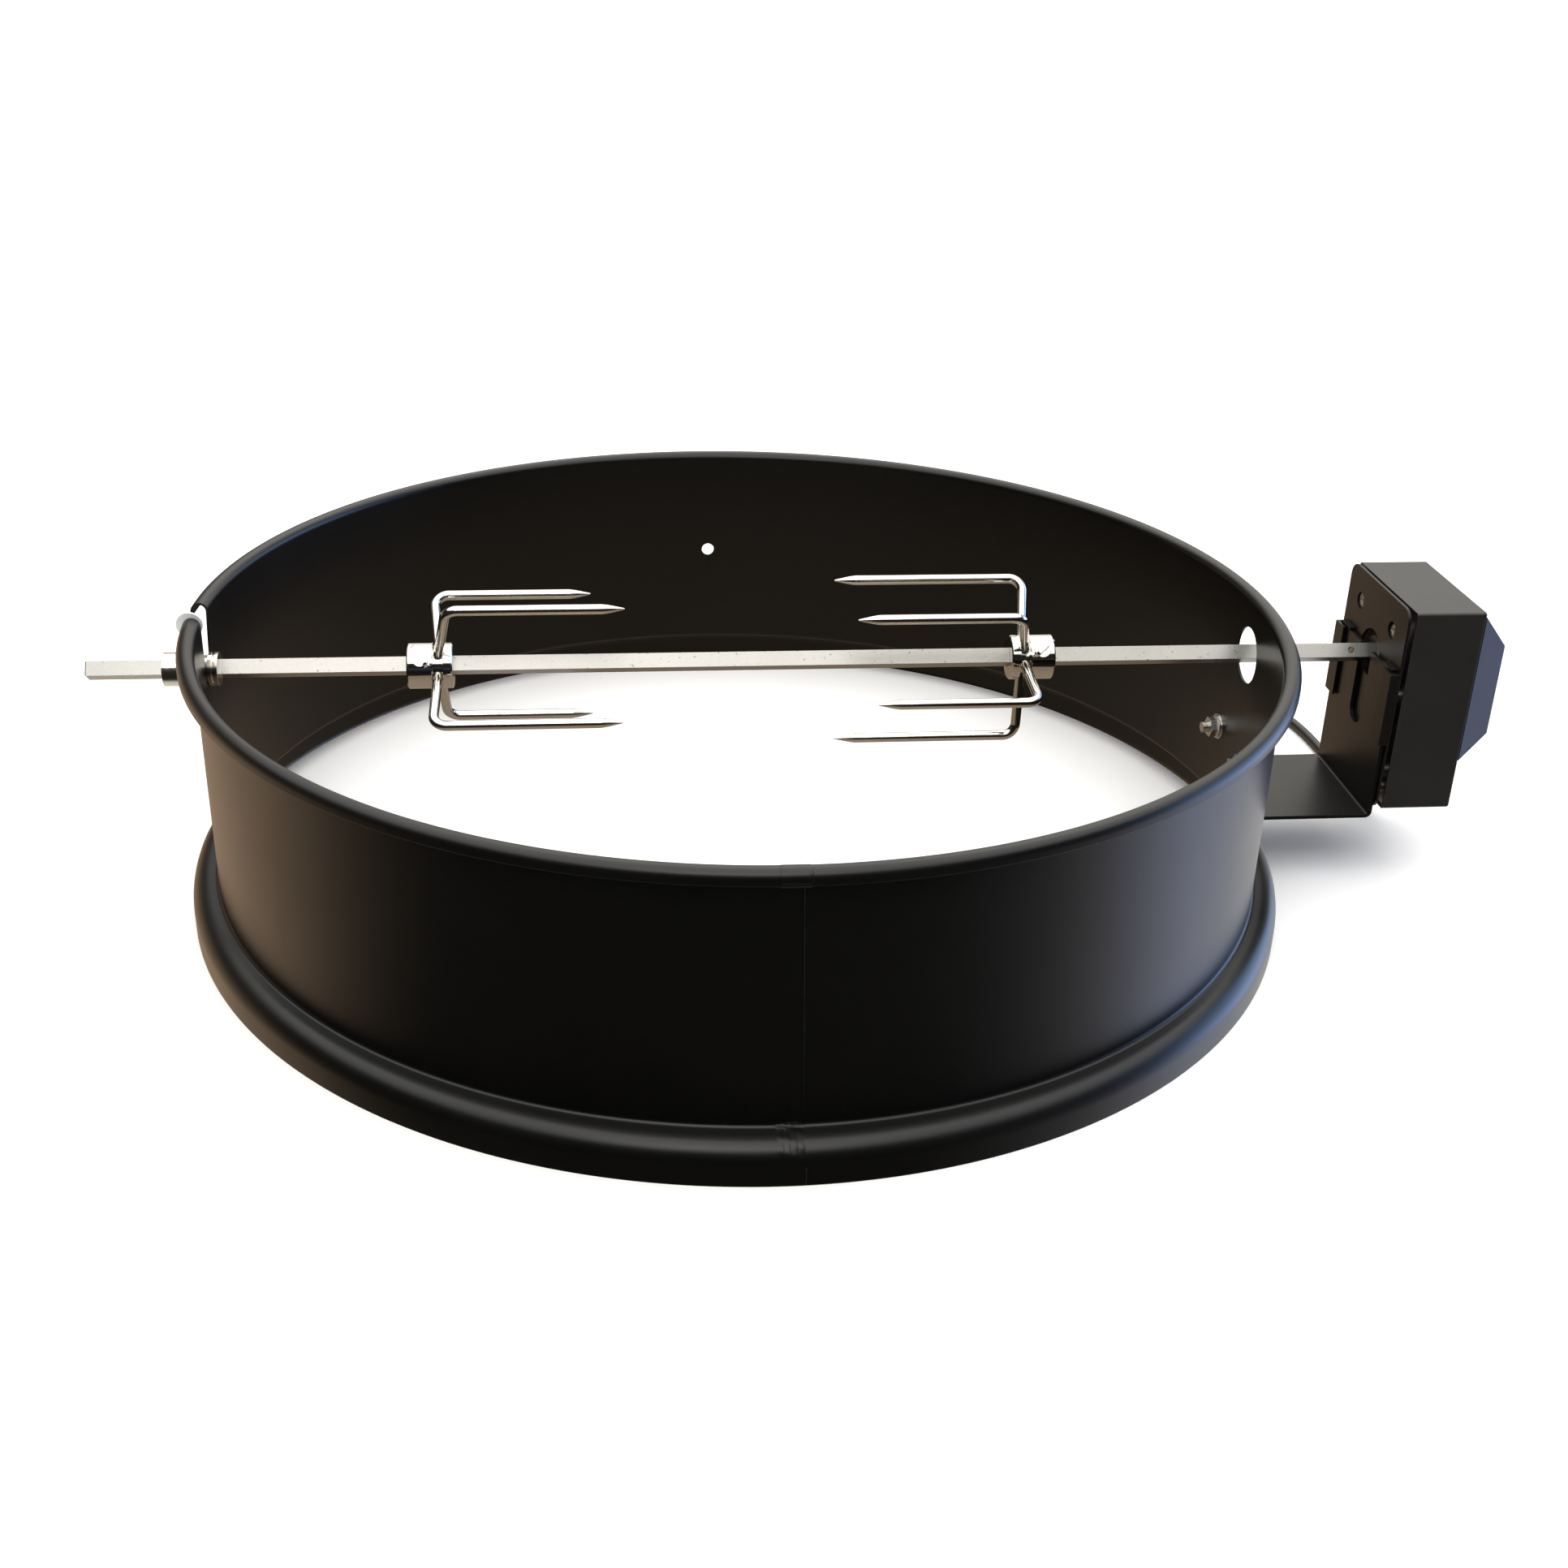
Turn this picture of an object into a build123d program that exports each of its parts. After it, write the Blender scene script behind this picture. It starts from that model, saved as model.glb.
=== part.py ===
from build123d import *
import os
from math import acos, atan2, cos, degrees, pi, radians, sin, sqrt, tan

# Rotisserie ring for a round charcoal kettle: a rolled steel ring that stands on the kettle,
# a square spit that turns in it, two four-tined forks and a plug-in gear motor on a bracket.
# Millimetres, +Z up, ring axis on Z with its bottom edge at Z = 0, spit along X, motor at +X.

os.makedirs("parts", exist_ok=True)

# ---- driving sizes ----
RING_HEIGHT = 148.0
SKIRT_RADIUS = 291.0          # outside of the skirt that drops over the kettle's rim
WALL_RADIUS = 276.6           # inside of the ring wall
SHEET = 1.2                   # rolled sheet of the ring
BEAD_RADIUS = 4.5             # rolled top bead, outside
BEAD_LEG = 2.2                # short straight lip where the bead's sheet ends
SKIRT_HEIGHT = 19.4
SHOULDER_RISE = 1.6           # the shoulder slopes up this much towards the wall
SPIT_HEIGHT = 117.0           # spit axis above the ring's bottom edge
SPIT_SIDE = 8.0
SPIT_LEFT = -337.4
SPIT_RIGHT = 362.0
SPIT_TURN = 37.8              # its broad front face looks up this much, degrees
MOTOR_FRONT = 349.2           # open face of the motor housing
MOTOR_BACK = 387.3
MOTOR_HALF_WIDTH = 40.2
MOTOR_BOTTOM = 40.5
MOTOR_TOP = 154.6
TINE_REACH = 45.0             # tine axis to spit axis

# ---- clearances ----
SLIDE_GAP = 0.25              # each side, fork hub on the bar
RUN_GAP = 0.05                # radial, gear on its pin
BUSH_GAP = 0.15               # radial, output hub in its bush
COAT_GAP = 0.05               # paint thickness between bolted sheets
TURN_GAP = 0.3                # bushing neck in the ring's notch
HOLE_GAP = 0.25               # radial, bolt in its hole
FIT_GAP = 0.2                 # gearbox cover inside the housing

# ---- ring openings and bolts ----
DRIVE_HOLE_RADIUS = 15.5
DRIVE_HOLE_DROP = 1.0         # the drive hole's centre sits this much below the spit axis
PROBE_RADIUS = 4.0
PROBE_HEIGHT = 82.0
BOLT_ANGLE = 5.2              # each side of the spit, about the ring's axis
BOLT_HEIGHT = 62.0
BOLT_RADIUS = 3.0
BOLT_FLATS = 10.0
BOLT_HEAD = 4.0
NUT_HEIGHT = 5.4
WASHER_RADIUS = 7.2
WASHER_SHEET = 1.2

# ---- bushing, forks and thumb screws ----
COLLAR_RADIUS = 8.8
COLLAR_LENGTH = 16.6
NECK_RADIUS = 7.2
NECK_LENGTH = 6.2
NECK_PLAY = 3.8               # from the collar to the ring's wall
THIN_FLANGE = 1.9
GRUB_RADIUS = 2.0
HUB_RADIUS = 12.0
HUB_CORE_RADIUS = 8.6
HUB_COLLAR = 13.0
HUB_GROOVE = 5.6
HUB_FLANGE = 4.9
WIRE_RADIUS = 2.6
TINE_BEND = 7.0
TINE_POINT = 12.0
THUMB_RADIUS = 3.0
THUMB_TAB_HALF = 6.6
THUMB_TAB_TOP = 20.6          # above the spit axis
LEFT_HUB_END = -174.5
RIGHT_HUB_END = 167.0

# ---- bracket and motor plate ----
BRACKET_SHEET = 2.0
BRACKET_FACE = 342.6          # ring side of the upright
BRACKET_HALF_WIDTH = 38.4
BRACKET_FLOOR = 34.6
BRACKET_TOP = 120.0
FLANGE_TOP = 76.0
SLOT_RADIUS = 7.7
SLOT_CENTRE = 83.0
PLATE_SHEET = 1.5
PLATE_CORNER = 7.5
PLATE_HOLE = 13.0
PLATE_FACE = BRACKET_FACE + BRACKET_SHEET + 0.3
LIP_BOTTOM = 79.0
LIP_INNER = 29.0
HOOK_FACE = BRACKET_FACE - 0.5
SPACER_RADIUS = 4.0
SPACER_SPREAD = 30.0
SPACER_HEIGHTS = (60.0, 104.0)

# ---- gear motor ----
CASE_WALL = 1.2
COVER_FACE = MOTOR_FRONT + 0.7
COVER_SHEET = 1.5
REAR_PLATE = 369.5
POST_RADIUS = 3.0
SCREW_HEIGHT = 138.4
SCREW_SPREAD = 22.0
LOW_SCREW_HEIGHT = 50.0
LOW_SCREW_SPREAD = 30.0
SIDE_SCREW_HEIGHTS = (75.0, 130.0)
FLOOR_SCREW_PLACES = (-24.0, 6.0)
SCREW_SHANK = 1.45
SCREW_HOLE = 1.7
TAB_LENGTH = 6.0
CAP_BASE = (40.0, 69.0, 152.0)     # half width, bottom and top where the outer cover starts
CAP_FACE = (33.0, 82.0, 133.0)     # the same at its flat end
CAP_END = 404.0
CAP_WALL = 1.6
VENT_SLOTS = 5
VENT_PITCH = 3.6
VENT_BOTTOM = 49.0
PINION_TEETH = 12
WHEEL_TEETH = 48
MODULES = (1.0, 0.7, 0.6)     # output, middle and motor mesh
WHEEL_ADDENDUM = 0.72         # short teeth on the wheels clear the small pinions' roots
PRESSURE = radians(20)
BACKLASH = 0.12
PIN_RADIUS = 1.5
SOCKET_HUB_RADIUS = 9.0
BUSH_RADIUS = 12.0
CAN_RADIUS = 20.0
CAN_DEPTH = 14.0
CAN_WALL = 1.0
CAN_SCREW_SPREAD = 23.4
OUTPUT_AXLE = (0.0, SPIT_HEIGHT)
SECOND_AXLE = (-18.0, SPIT_HEIGHT - 24.0)
FIRST_AXLE = (SECOND_AXLE[0] + 16.8, SECOND_AXLE[1] - 12.6)
ROTOR_AXLE = (FIRST_AXLE[0], FIRST_AXLE[1] - 18.0)
SWITCH_X = 379.4
SWITCH_HEIGHT = 112.0
SWITCH_HALF = (6.3, 9.4)
SWITCH_RIM = 1.2
ROCKER_TILT = 12.0

# ---- mains cord ----
CORD_RADIUS = 3.0
CORD_X = 375.0
CORD_Y = 24.0
RELIEF_END = 32.0
RELIEF_TOP = 54.0
COIL_CENTRE = (104.0, 366.0)
COIL_LIFT = 4.2               # height of the coil's lower turns
COIL_MIDDLE = 33.0
TURN_OVERLAP = 0.3            # neighbouring turns press into each other this much
UPPER_TURNS = 4.9             # the upper turns lie this much above the lower ones
TIE_SHEET = 0.7
PLUG_HALF = 13.0
PLUG_LENGTH = 23.0
CORD_ROUTE = [
    (375, 24, 32), (375, 24, 20.8), (375, 30.4, 9.7), (375, 41.6, 3.2), (374.4, 60, 3.2),
    (375.6, 87, 3.2), (376.4, 116, 3.2), (374, 150, 3.2), (364, 187, 3.2), (345, 222, 3.2),
    (319, 253, 3.2), (287, 278, 3.2), (250, 298, 3.2), (212, 313, 3.2), (174, 323, 3.2),
    (138, 327.6, 3.6), (104, 327, 4.2)]

# ---- worked out from the sizes above ----
WALL_OUTER = WALL_RADIUS + SHEET
BEAD_OUTER = WALL_RADIUS + 2 * BEAD_RADIUS
NOTCH_RADIUS = NECK_RADIUS + TURN_GAP
THROUGH = 15.0                # how far a cutter runs past each side of a sheet
WALL_IN = WALL_RADIUS - THROUGH
WALL_OUT = BEAD_OUTER + THROUGH
BRACKET_BACK = BRACKET_FACE + BRACKET_SHEET
PLATE_BACK = PLATE_FACE + PLATE_SHEET
COVER_BACK = COVER_FACE + COVER_SHEET
INNER_HALF = MOTOR_HALF_WIDTH - CASE_WALL
INNER_LOW = MOTOR_BOTTOM + CASE_WALL
INNER_HIGH = MOTOR_TOP - CASE_WALL
INNER_BACK = MOTOR_BACK - CASE_WALL
TAB_X = COVER_BACK + TAB_LENGTH / 2
CAN_START = REAR_PLATE + COVER_SHEET
CAN_FINISH = CAN_START + CAN_DEPTH
SIDES = (-1, 1)

NODES = {}


def rod(radius, start, end, axis="X"):
    """A round bar along one axis, from start to end on that axis."""
    bar = Cylinder(radius, end - start, align=(Align.CENTER, Align.CENTER, Align.MIN))
    turn = {"X": Rot(Y=90), "Y": Rot(X=-90), "Z": Rot()}[axis]
    shift = {"X": (start, 0, 0), "Y": (0, start, 0), "Z": (0, 0, start)}[axis]
    return Pos(*shift) * turn * bar


def taper(low_radius, high_radius, length):
    """A cone frustum that stands on the frame's origin."""
    return Cone(low_radius, high_radius, length, align=(Align.CENTER, Align.CENTER, Align.MIN))


def block(x0, x1, y0, y1, z0, z1):
    low = (Align.MIN, Align.MIN, Align.MIN)
    return Pos(x0, y0, z0) * Box(x1 - x0, y1 - y0, z1 - z0, align=low)


def square_bar(side, start, end):
    """The spit's section along X, turned as the bar stands at rest."""
    return Rot(X=-SPIT_TURN) * block(start, end, -side / 2, side / 2, -side / 2, side / 2)


def rounded_panel(half_width, bottom, top, corner, start, thickness):
    """A sheet across X with rounded corners; its lower edge is at bottom."""
    face = RectangleRounded(2 * half_width, top - bottom, corner)
    return Pos(start, 0, (bottom + top) / 2) * extrude(Plane.YZ * face, thickness)


def on_spit(shape):
    """Carries a shape from the frame's X axis up to the spit axis."""
    return Pos(0, 0, SPIT_HEIGHT) * shape


def at_axle(axle, shape):
    """Carries a shape from the frame's X axis to a (Y, Z) place."""
    return Pos(0, axle[0], axle[1]) * shape


def at_bolts(shape):
    """Both places of a shape on the ring's two bolt axes."""
    return [Rot(Z=side * BOLT_ANGLE) * Pos(0, 0, BOLT_HEIGHT) * shape for side in SIDES]


def pan_screw(seat, length, head_radius=3.1):
    """A cross-recessed pan-head screw; the head stands on the low side of seat."""
    head = rod(head_radius, seat - 2.0, seat)
    rim = head.edges().filter_by(GeomType.CIRCLE).sort_by(Axis.X)[0]
    head = fillet(rim, 1.0)
    recess = block(seat - 2.1, seat - 0.7, -1.9, 1.9, -0.4, 0.4)
    recess += block(seat - 2.1, seat - 0.7, -0.4, 0.4, -1.9, 1.9)
    return head - recess + rod(SCREW_SHANK, seat, seat + length)


def keep(name, *shapes):
    """Stores one node; separate pieces of a node stay separate solids."""
    solids = [s for shape in shapes for s in shape.solids()]
    NODES[name] = solids[0] if len(solids) == 1 else Compound(children=solids)


# ---- the ring ----
def ring_section():
    """The rolled sheet's section: skirt, shoulder, wall and a bead turned outwards."""
    shoulder = SKIRT_HEIGHT + SHOULDER_RISE
    bend = BEAD_RADIUS - 0.05
    lip = RING_HEIGHT - BEAD_RADIUS - BEAD_LEG
    inner = FilletPolyline(
        (SKIRT_RADIUS - SHEET, 0), (SKIRT_RADIUS - SHEET, SKIRT_HEIGHT - SHEET),
        (WALL_RADIUS, shoulder - SHEET), (WALL_RADIUS, RING_HEIGHT),
        (BEAD_OUTER, RING_HEIGHT), (BEAD_OUTER, lip), radius=[3.8, 3.2, bend, bend])
    outer = FilletPolyline(
        (SKIRT_RADIUS, 0), (SKIRT_RADIUS, SKIRT_HEIGHT), (WALL_OUTER, shoulder),
        (WALL_OUTER, RING_HEIGHT - SHEET), (BEAD_OUTER - SHEET, RING_HEIGHT - SHEET),
        (BEAD_OUTER - SHEET, lip), radius=[5.0, 2.0, bend - SHEET, bend - SHEET])
    foot = Line(inner @ 0, outer @ 0)
    edge = Line(inner @ 1, outer @ 1)
    return make_face(inner.edges() + outer.edges() + foot.edges() + edge.edges())


def ring_shell():
    shell = revolve(Plane.XZ * ring_section(), Axis.Z)
    notch = block(-WALL_OUT, -WALL_IN, -NOTCH_RADIUS, NOTCH_RADIUS, SPIT_HEIGHT, RING_HEIGHT + 5)
    notch += on_spit(rod(NOTCH_RADIUS, -WALL_OUT, -WALL_IN))
    shell -= notch
    shell -= Pos(0, 0, SPIT_HEIGHT - DRIVE_HOLE_DROP) * rod(DRIVE_HOLE_RADIUS, WALL_IN, WALL_OUT)
    shell -= Pos(0, 0, PROBE_HEIGHT) * rod(PROBE_RADIUS, WALL_IN, WALL_OUT, "Y")
    for hole in at_bolts(rod(BOLT_RADIUS + HOLE_GAP, WALL_IN, WALL_OUT)):
        shell -= hole
    weld = block(2.2, 5.4, -WALL_OUTER - 0.4, -WALL_OUTER + 0.5, SKIRT_HEIGHT + 4.6, RING_HEIGHT - 10)
    return shell + weld


def rim_end_cap():
    """A soft cap that closes the cut end of the bead on the near side of the notch."""
    bead_x = -(WALL_RADIUS + BEAD_RADIUS)
    bead_z = RING_HEIGHT - BEAD_RADIUS
    disc = Pos(bead_x - 0.6, 0, bead_z + 0.6) * rod(6.6, -NOTCH_RADIUS, -NOTCH_RADIUS + 1.6, "Y")
    stub_radius = BEAD_RADIUS - SHEET - 1.0
    stub = Pos(bead_x + 0.3, 0, bead_z) * rod(stub_radius, -NOTCH_RADIUS - 11, -NOTCH_RADIUS, "Y")
    return disc + stub


keep("ring_shell", ring_shell())
keep("rim_end_cap", rim_end_cap())


# ---- the bracket on the ring ----
def motor_bracket():
    """Bent sheet: a flange on the ring's wall, a shelf and a slotted upright."""
    top_of_shelf = BRACKET_FLOOR + BRACKET_SHEET
    outline = Polyline(
        (WALL_IN, BRACKET_FLOOR), (BRACKET_BACK, BRACKET_FLOOR), (BRACKET_BACK, BRACKET_TOP),
        (BRACKET_FACE, BRACKET_TOP), (BRACKET_FACE, top_of_shelf), (WALL_IN, top_of_shelf), close=True)
    sheet = extrude(Plane.XZ * make_face(outline), BRACKET_HALF_WIDTH, both=True)
    bends = sheet.edges().filter_by(Axis.Y)
    outside = [e for e in bends if e.center().X > BRACKET_BACK - 0.1 and e.center().Z < top_of_shelf - 0.1]
    sheet = fillet(outside, 3.5)
    bends = sheet.edges().filter_by(Axis.Y)
    inside = [e for e in bends if abs(e.center().X - BRACKET_FACE) < 0.1 and e.center().Z < top_of_shelf + 1]
    sheet = fillet(inside, 1.5)
    corners = [e for e in sheet.edges().filter_by(Axis.X) if e.center().Z > BRACKET_TOP - 0.1]
    sheet = fillet(corners, 3.0)
    slot = block(BRACKET_FACE - 1, BRACKET_BACK + 1, -SLOT_RADIUS, SLOT_RADIUS, SLOT_CENTRE, BRACKET_TOP + 1)
    slot += Pos(0, 0, SLOT_CENTRE) * rod(SLOT_RADIUS, BRACKET_FACE - 1, BRACKET_BACK + 1)
    seat = WALL_OUTER + COAT_GAP
    window = block(0, seat + 5, -BRACKET_HALF_WIDTH, BRACKET_HALF_WIDTH, BRACKET_FLOOR, FLANGE_TOP)
    flange = rod(seat + BRACKET_SHEET, BRACKET_FLOOR, FLANGE_TOP, "Z") & window
    bracket = sheet - slot + flange - rod(seat, 0, RING_HEIGHT, "Z")
    for hole in at_bolts(rod(BOLT_RADIUS + HOLE_GAP, WALL_IN, WALL_OUT)):
        bracket -= hole
    return bracket


def hexagon_bar(across_flats, start, end):
    hexagon = RegularPolygon(across_flats / sqrt(3), 6)
    return Pos(start, 0, 0) * extrude(Plane.YZ * hexagon, end - start)


def bracket_bolt():
    """Head on the bracket outside the ring, shank through to the nut inside it."""
    head_seat = WALL_OUTER + COAT_GAP + BRACKET_SHEET + 0.15
    shank = rod(BOLT_RADIUS, WALL_RADIUS - 10.5, head_seat)
    return hexagon_bar(BOLT_FLATS, head_seat, head_seat + BOLT_HEAD) + shank


def bracket_washer():
    seat = WALL_RADIUS - 0.2
    return rod(WASHER_RADIUS, seat - WASHER_SHEET, seat) - rod(BOLT_RADIUS + FIT_GAP, WALL_IN, WALL_OUT)


def bracket_nut():
    seat = WALL_RADIUS - 0.2 - WASHER_SHEET
    nut = hexagon_bar(BOLT_FLATS, seat - NUT_HEIGHT, seat) + rod(6.4, seat - 1.2, seat)
    return nut - rod(BOLT_RADIUS + RUN_GAP, WALL_IN, WALL_OUT)


keep("motor_bracket", motor_bracket())
keep("bracket_bolts", *at_bolts(bracket_bolt()))
keep("bracket_washers", *at_bolts(bracket_washer()))
keep("bracket_nuts", *at_bolts(bracket_nut()))


# ---- the plate that hooks the motor over the bracket ----
def motor_mount_plate():
    """Flat plate with two folded hooks that slip over the bracket's upright."""
    half = MOTOR_HALF_WIDTH
    plate = rounded_panel(half, MOTOR_BOTTOM - 0.5, MOTOR_TOP + 0.9, PLATE_CORNER, PLATE_FACE, PLATE_SHEET)
    plate -= on_spit(rod(PLATE_HOLE, PLATE_FACE - 1, PLATE_BACK + 1))
    for side in SIDES:
        access = rod(4.7, PLATE_FACE - 1, PLATE_BACK + 1)
        plate -= at_axle((side * SCREW_SPREAD, SCREW_HEIGHT), access)
        y_in, y_out = sorted((side * (half - PLATE_SHEET), side * half))
        lip = block(HOOK_FACE - PLATE_SHEET, PLATE_FACE + 0.5, y_in, y_out, LIP_BOTTOM, BRACKET_TOP)
        y_in, y_out = sorted((side * LIP_INNER, side * half))
        lip += block(HOOK_FACE - PLATE_SHEET, HOOK_FACE, y_in, y_out, LIP_BOTTOM, BRACKET_TOP)
        y_in, y_out = sorted((side * (LIP_INNER - 5), side * (half - 4)))
        stop_low = BRACKET_TOP + 0.1
        stop = block(BRACKET_FACE - 0.2, PLATE_FACE + 0.5, y_in, y_out, stop_low, stop_low + PLATE_SHEET)
        plate += lip + stop
    return plate


spacer_places = [(side * SPACER_SPREAD, height) for side in SIDES for height in SPACER_HEIGHTS]
spacer = rod(SPACER_RADIUS, PLATE_BACK, COVER_FACE)
keep("motor_mount_plate", motor_mount_plate())
keep("mount_spacers", *[at_axle(place, spacer) for place in spacer_places])


# ---- motor housing ----
def motor_housing():
    """A drawn steel box, open towards the ring, with cut-outs for switch, cord and air."""
    depth = MOTOR_BACK - MOTOR_FRONT
    shell = rounded_panel(MOTOR_HALF_WIDTH, MOTOR_BOTTOM, MOTOR_TOP, 1.6, MOTOR_FRONT, depth)
    shell = fillet(shell.faces().sort_by(Axis.X)[-1].edges(), 1.2)
    shell -= block(MOTOR_FRONT - 1, INNER_BACK, -INNER_HALF, INNER_HALF, INNER_LOW, INNER_HIGH)
    for height in SIDE_SCREW_HEIGHTS:
        shell -= Pos(TAB_X, 0, height) * rod(SCREW_HOLE, INNER_HALF - 2, MOTOR_HALF_WIDTH + 1, "Y")
    for place in FLOOR_SCREW_PLACES:
        shell -= Pos(TAB_X, place, 0) * rod(SCREW_HOLE, MOTOR_BOTTOM - 1, INNER_LOW + 2, "Z")
    half_x = SWITCH_HALF[0] + 0.1
    half_z = SWITCH_HALF[1] + 0.1
    shell -= block(SWITCH_X - half_x, SWITCH_X + half_x, INNER_HALF - 4, MOTOR_HALF_WIDTH + 4,
                   SWITCH_HEIGHT - half_z, SWITCH_HEIGHT + half_z)
    shell -= Pos(CORD_X, CORD_Y, 0) * rod(5.2, MOTOR_BOTTOM - 1, INNER_LOW + 1, "Z")
    for row in range(VENT_SLOTS):
        low = VENT_BOTTOM + VENT_PITCH * row
        shell -= block(INNER_BACK - 1, MOTOR_BACK + 1, -18, 18, low, low + 1.6)
    return shell


def gearbox_cover():
    """The inner lid: a flat sheet with screw tabs folded along one side and the floor."""
    half = INNER_HALF - FIT_GAP
    low = INNER_LOW + FIT_GAP
    cover = block(COVER_FACE, COVER_BACK, -half, half, low, INNER_HIGH - FIT_GAP)
    tab_start = COVER_BACK - 0.5
    tab_end = COVER_BACK + TAB_LENGTH
    for height in SIDE_SCREW_HEIGHTS:
        tab = block(tab_start, tab_end, half - COVER_SHEET, half, height - 5, height + 5)
        cover += tab - Pos(TAB_X, 0, height) * rod(SCREW_SHANK + RUN_GAP, half - 3, half + 1, "Y")
    for place in FLOOR_SCREW_PLACES:
        tab = block(tab_start, tab_end, place - 5, place + 5, low, low + COVER_SHEET)
        cover += tab - Pos(TAB_X, place, 0) * rod(SCREW_SHANK + RUN_GAP, low - 1, low + 3, "Z")
    cover -= on_spit(rod(BUSH_RADIUS, COVER_FACE - 1, COVER_BACK + 1))
    for place in screw_places:
        cover -= at_axle(place, rod(SCREW_HOLE, COVER_FACE - 1, COVER_BACK + 1))
    return cover


def cap_solid(shrink, end):
    """The outer cover's sloping block, every side moved in by shrink."""
    sections = []
    for x, (half, bottom, top) in ((MOTOR_BACK, CAP_BASE), (end, CAP_FACE)):
        face = Pos(0, (bottom + top) / 2) * Rectangle(2 * (half - shrink), top - bottom - 2 * shrink)
        sections.append(Pos(x, 0, 0) * (Plane.YZ * face))
    return loft(sections)


screw_places = [(side * SCREW_SPREAD, SCREW_HEIGHT) for side in SIDES]
screw_places += [(side * LOW_SCREW_SPREAD, LOW_SCREW_HEIGHT) for side in SIDES]
keep("motor_housing", motor_housing())
keep("outer_cover", cap_solid(0, CAP_END) - cap_solid(CAP_WALL, CAP_END - CAP_WALL))
keep("gearbox_cover", gearbox_cover())
keep("cover_screws", *[at_axle(place, pan_screw(COVER_FACE, 8.5)) for place in screw_places])

side_screw = Rot(Z=-90) * pan_screw(0, 3.4)
floor_screw = Rot(Y=-90) * pan_screw(0, 3.4)
case_screws = [Pos(TAB_X, MOTOR_HALF_WIDTH, height) * side_screw for height in SIDE_SCREW_HEIGHTS]
case_screws += [Pos(TAB_X, place, MOTOR_BOTTOM) * floor_screw for place in FLOOR_SCREW_PLACES]
keep("case_screws", *case_screws)


# ---- gearbox ----
def gearbox_rear_plate():
    plate = block(REAR_PLATE, CAN_START, -34, 34, INNER_LOW + 3, 144)
    plate -= at_axle(ROTOR_AXLE, rod(5.0, REAR_PLATE - 1, CAN_START + 1))
    for side in SIDES:
        hole = Pos(0, side * CAN_SCREW_SPREAD, 0) * rod(SCREW_SHANK + 0.1, REAR_PLATE - 1, CAN_START + 1)
        plate -= at_axle(ROTOR_AXLE, hole)
    return plate


def output_bush():
    bush = rod(BUSH_RADIUS, COVER_FACE, COVER_BACK)
    bush += rod(BUSH_RADIUS + 1.5, COVER_BACK, COVER_BACK + 1.2)
    return bush - rod(SOCKET_HUB_RADIUS + BUSH_GAP, COVER_FACE - 1, COVER_BACK + 3)


post = rod(POST_RADIUS, COVER_BACK, REAR_PLATE) - rod(1.5, COVER_BACK - 1, COVER_BACK + 8)
gear_pin = rod(PIN_RADIUS, COVER_BACK, REAR_PLATE)
keep("gearbox_posts", *[at_axle(place, post) for place in screw_places])
keep("gearbox_rear_plate", gearbox_rear_plate())
keep("output_bush", on_spit(output_bush()))
keep("gear_pins", *[at_axle(axle, gear_pin) for axle in (SECOND_AXLE, FIRST_AXLE)])


def toothed_wheel(teeth, module, addendum, phase, start, end):
    """An involute spur gear about X, one tooth's middle at the angle phase from +Y."""
    pitch_r = teeth * module / 2
    base_r = pitch_r * cos(PRESSURE)
    tip_r = pitch_r + addendum * module
    root_r = pitch_r - 1.25 * module

    def half_angle(r):
        pressure = acos(min(1.0, base_r / r))
        lean = (tan(PRESSURE) - PRESSURE) - (tan(pressure) - pressure)
        return pi / (2 * teeth) - BACKLASH / (2 * pitch_r) + lean

    start_r = max(base_r, root_r)
    flank = [start_r + (tip_r - start_r) * step / 3 for step in range(4)]
    if start_r > root_r:
        flank = [root_r] + flank
    tooth = [(r, -half_angle(max(r, base_r))) for r in flank]
    tooth += [(r, -a) for r, a in reversed(tooth)]
    outline = []
    for k in range(teeth):
        turn = phase + 2 * pi * k / teeth
        outline += [(r * cos(turn + a), r * sin(turn + a)) for r, a in tooth]
    face = make_face(Polyline(*outline, close=True))
    return Pos(start, 0, 0) * extrude(Plane.YZ * face, end - start)


def mesh_phases(driver, driven, driven_teeth):
    """A tooth of one gear points at its mate, whose gap points back."""
    towards = atan2(driven[1] - driver[1], driven[0] - driver[0])
    return towards, towards + pi + pi / driven_teeth


def double_gear(axle, pinion, wheel):
    """A pinion and a wheel moulded on one hub that runs on a fixed pin."""
    gear = pinion + wheel
    box = gear.bounding_box()
    gear += rod(2.8, box.min.X, box.max.X)
    return at_axle(axle, gear - rod(PIN_RADIUS + RUN_GAP, box.min.X - 1, box.max.X + 1))


out_phase, second_pinion_phase = mesh_phases(OUTPUT_AXLE, SECOND_AXLE, PINION_TEETH)
second_phase, first_pinion_phase = mesh_phases(SECOND_AXLE, FIRST_AXLE, PINION_TEETH)
first_phase, rotor_phase = mesh_phases(FIRST_AXLE, ROTOR_AXLE, PINION_TEETH)

output_wheel = toothed_wheel(WHEEL_TEETH, MODULES[0], WHEEL_ADDENDUM, out_phase, 354.5, 359.5)
output_wheel += rod(SOCKET_HUB_RADIUS, 347.0, 366.5)
output_wheel -= square_bar(SPIT_SIDE + 2 * SLIDE_GAP, 346, SPIT_RIGHT + 2.5)
keep("output_gear", on_spit(output_wheel))

second_pinion = toothed_wheel(PINION_TEETH, MODULES[0], 1.0, second_pinion_phase, 354.0, 361.2)
second_wheel = toothed_wheel(WHEEL_TEETH, MODULES[1], WHEEL_ADDENDUM, second_phase, 361.0, 364.0)
keep("second_gear", double_gear(SECOND_AXLE, second_pinion, second_wheel))

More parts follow.
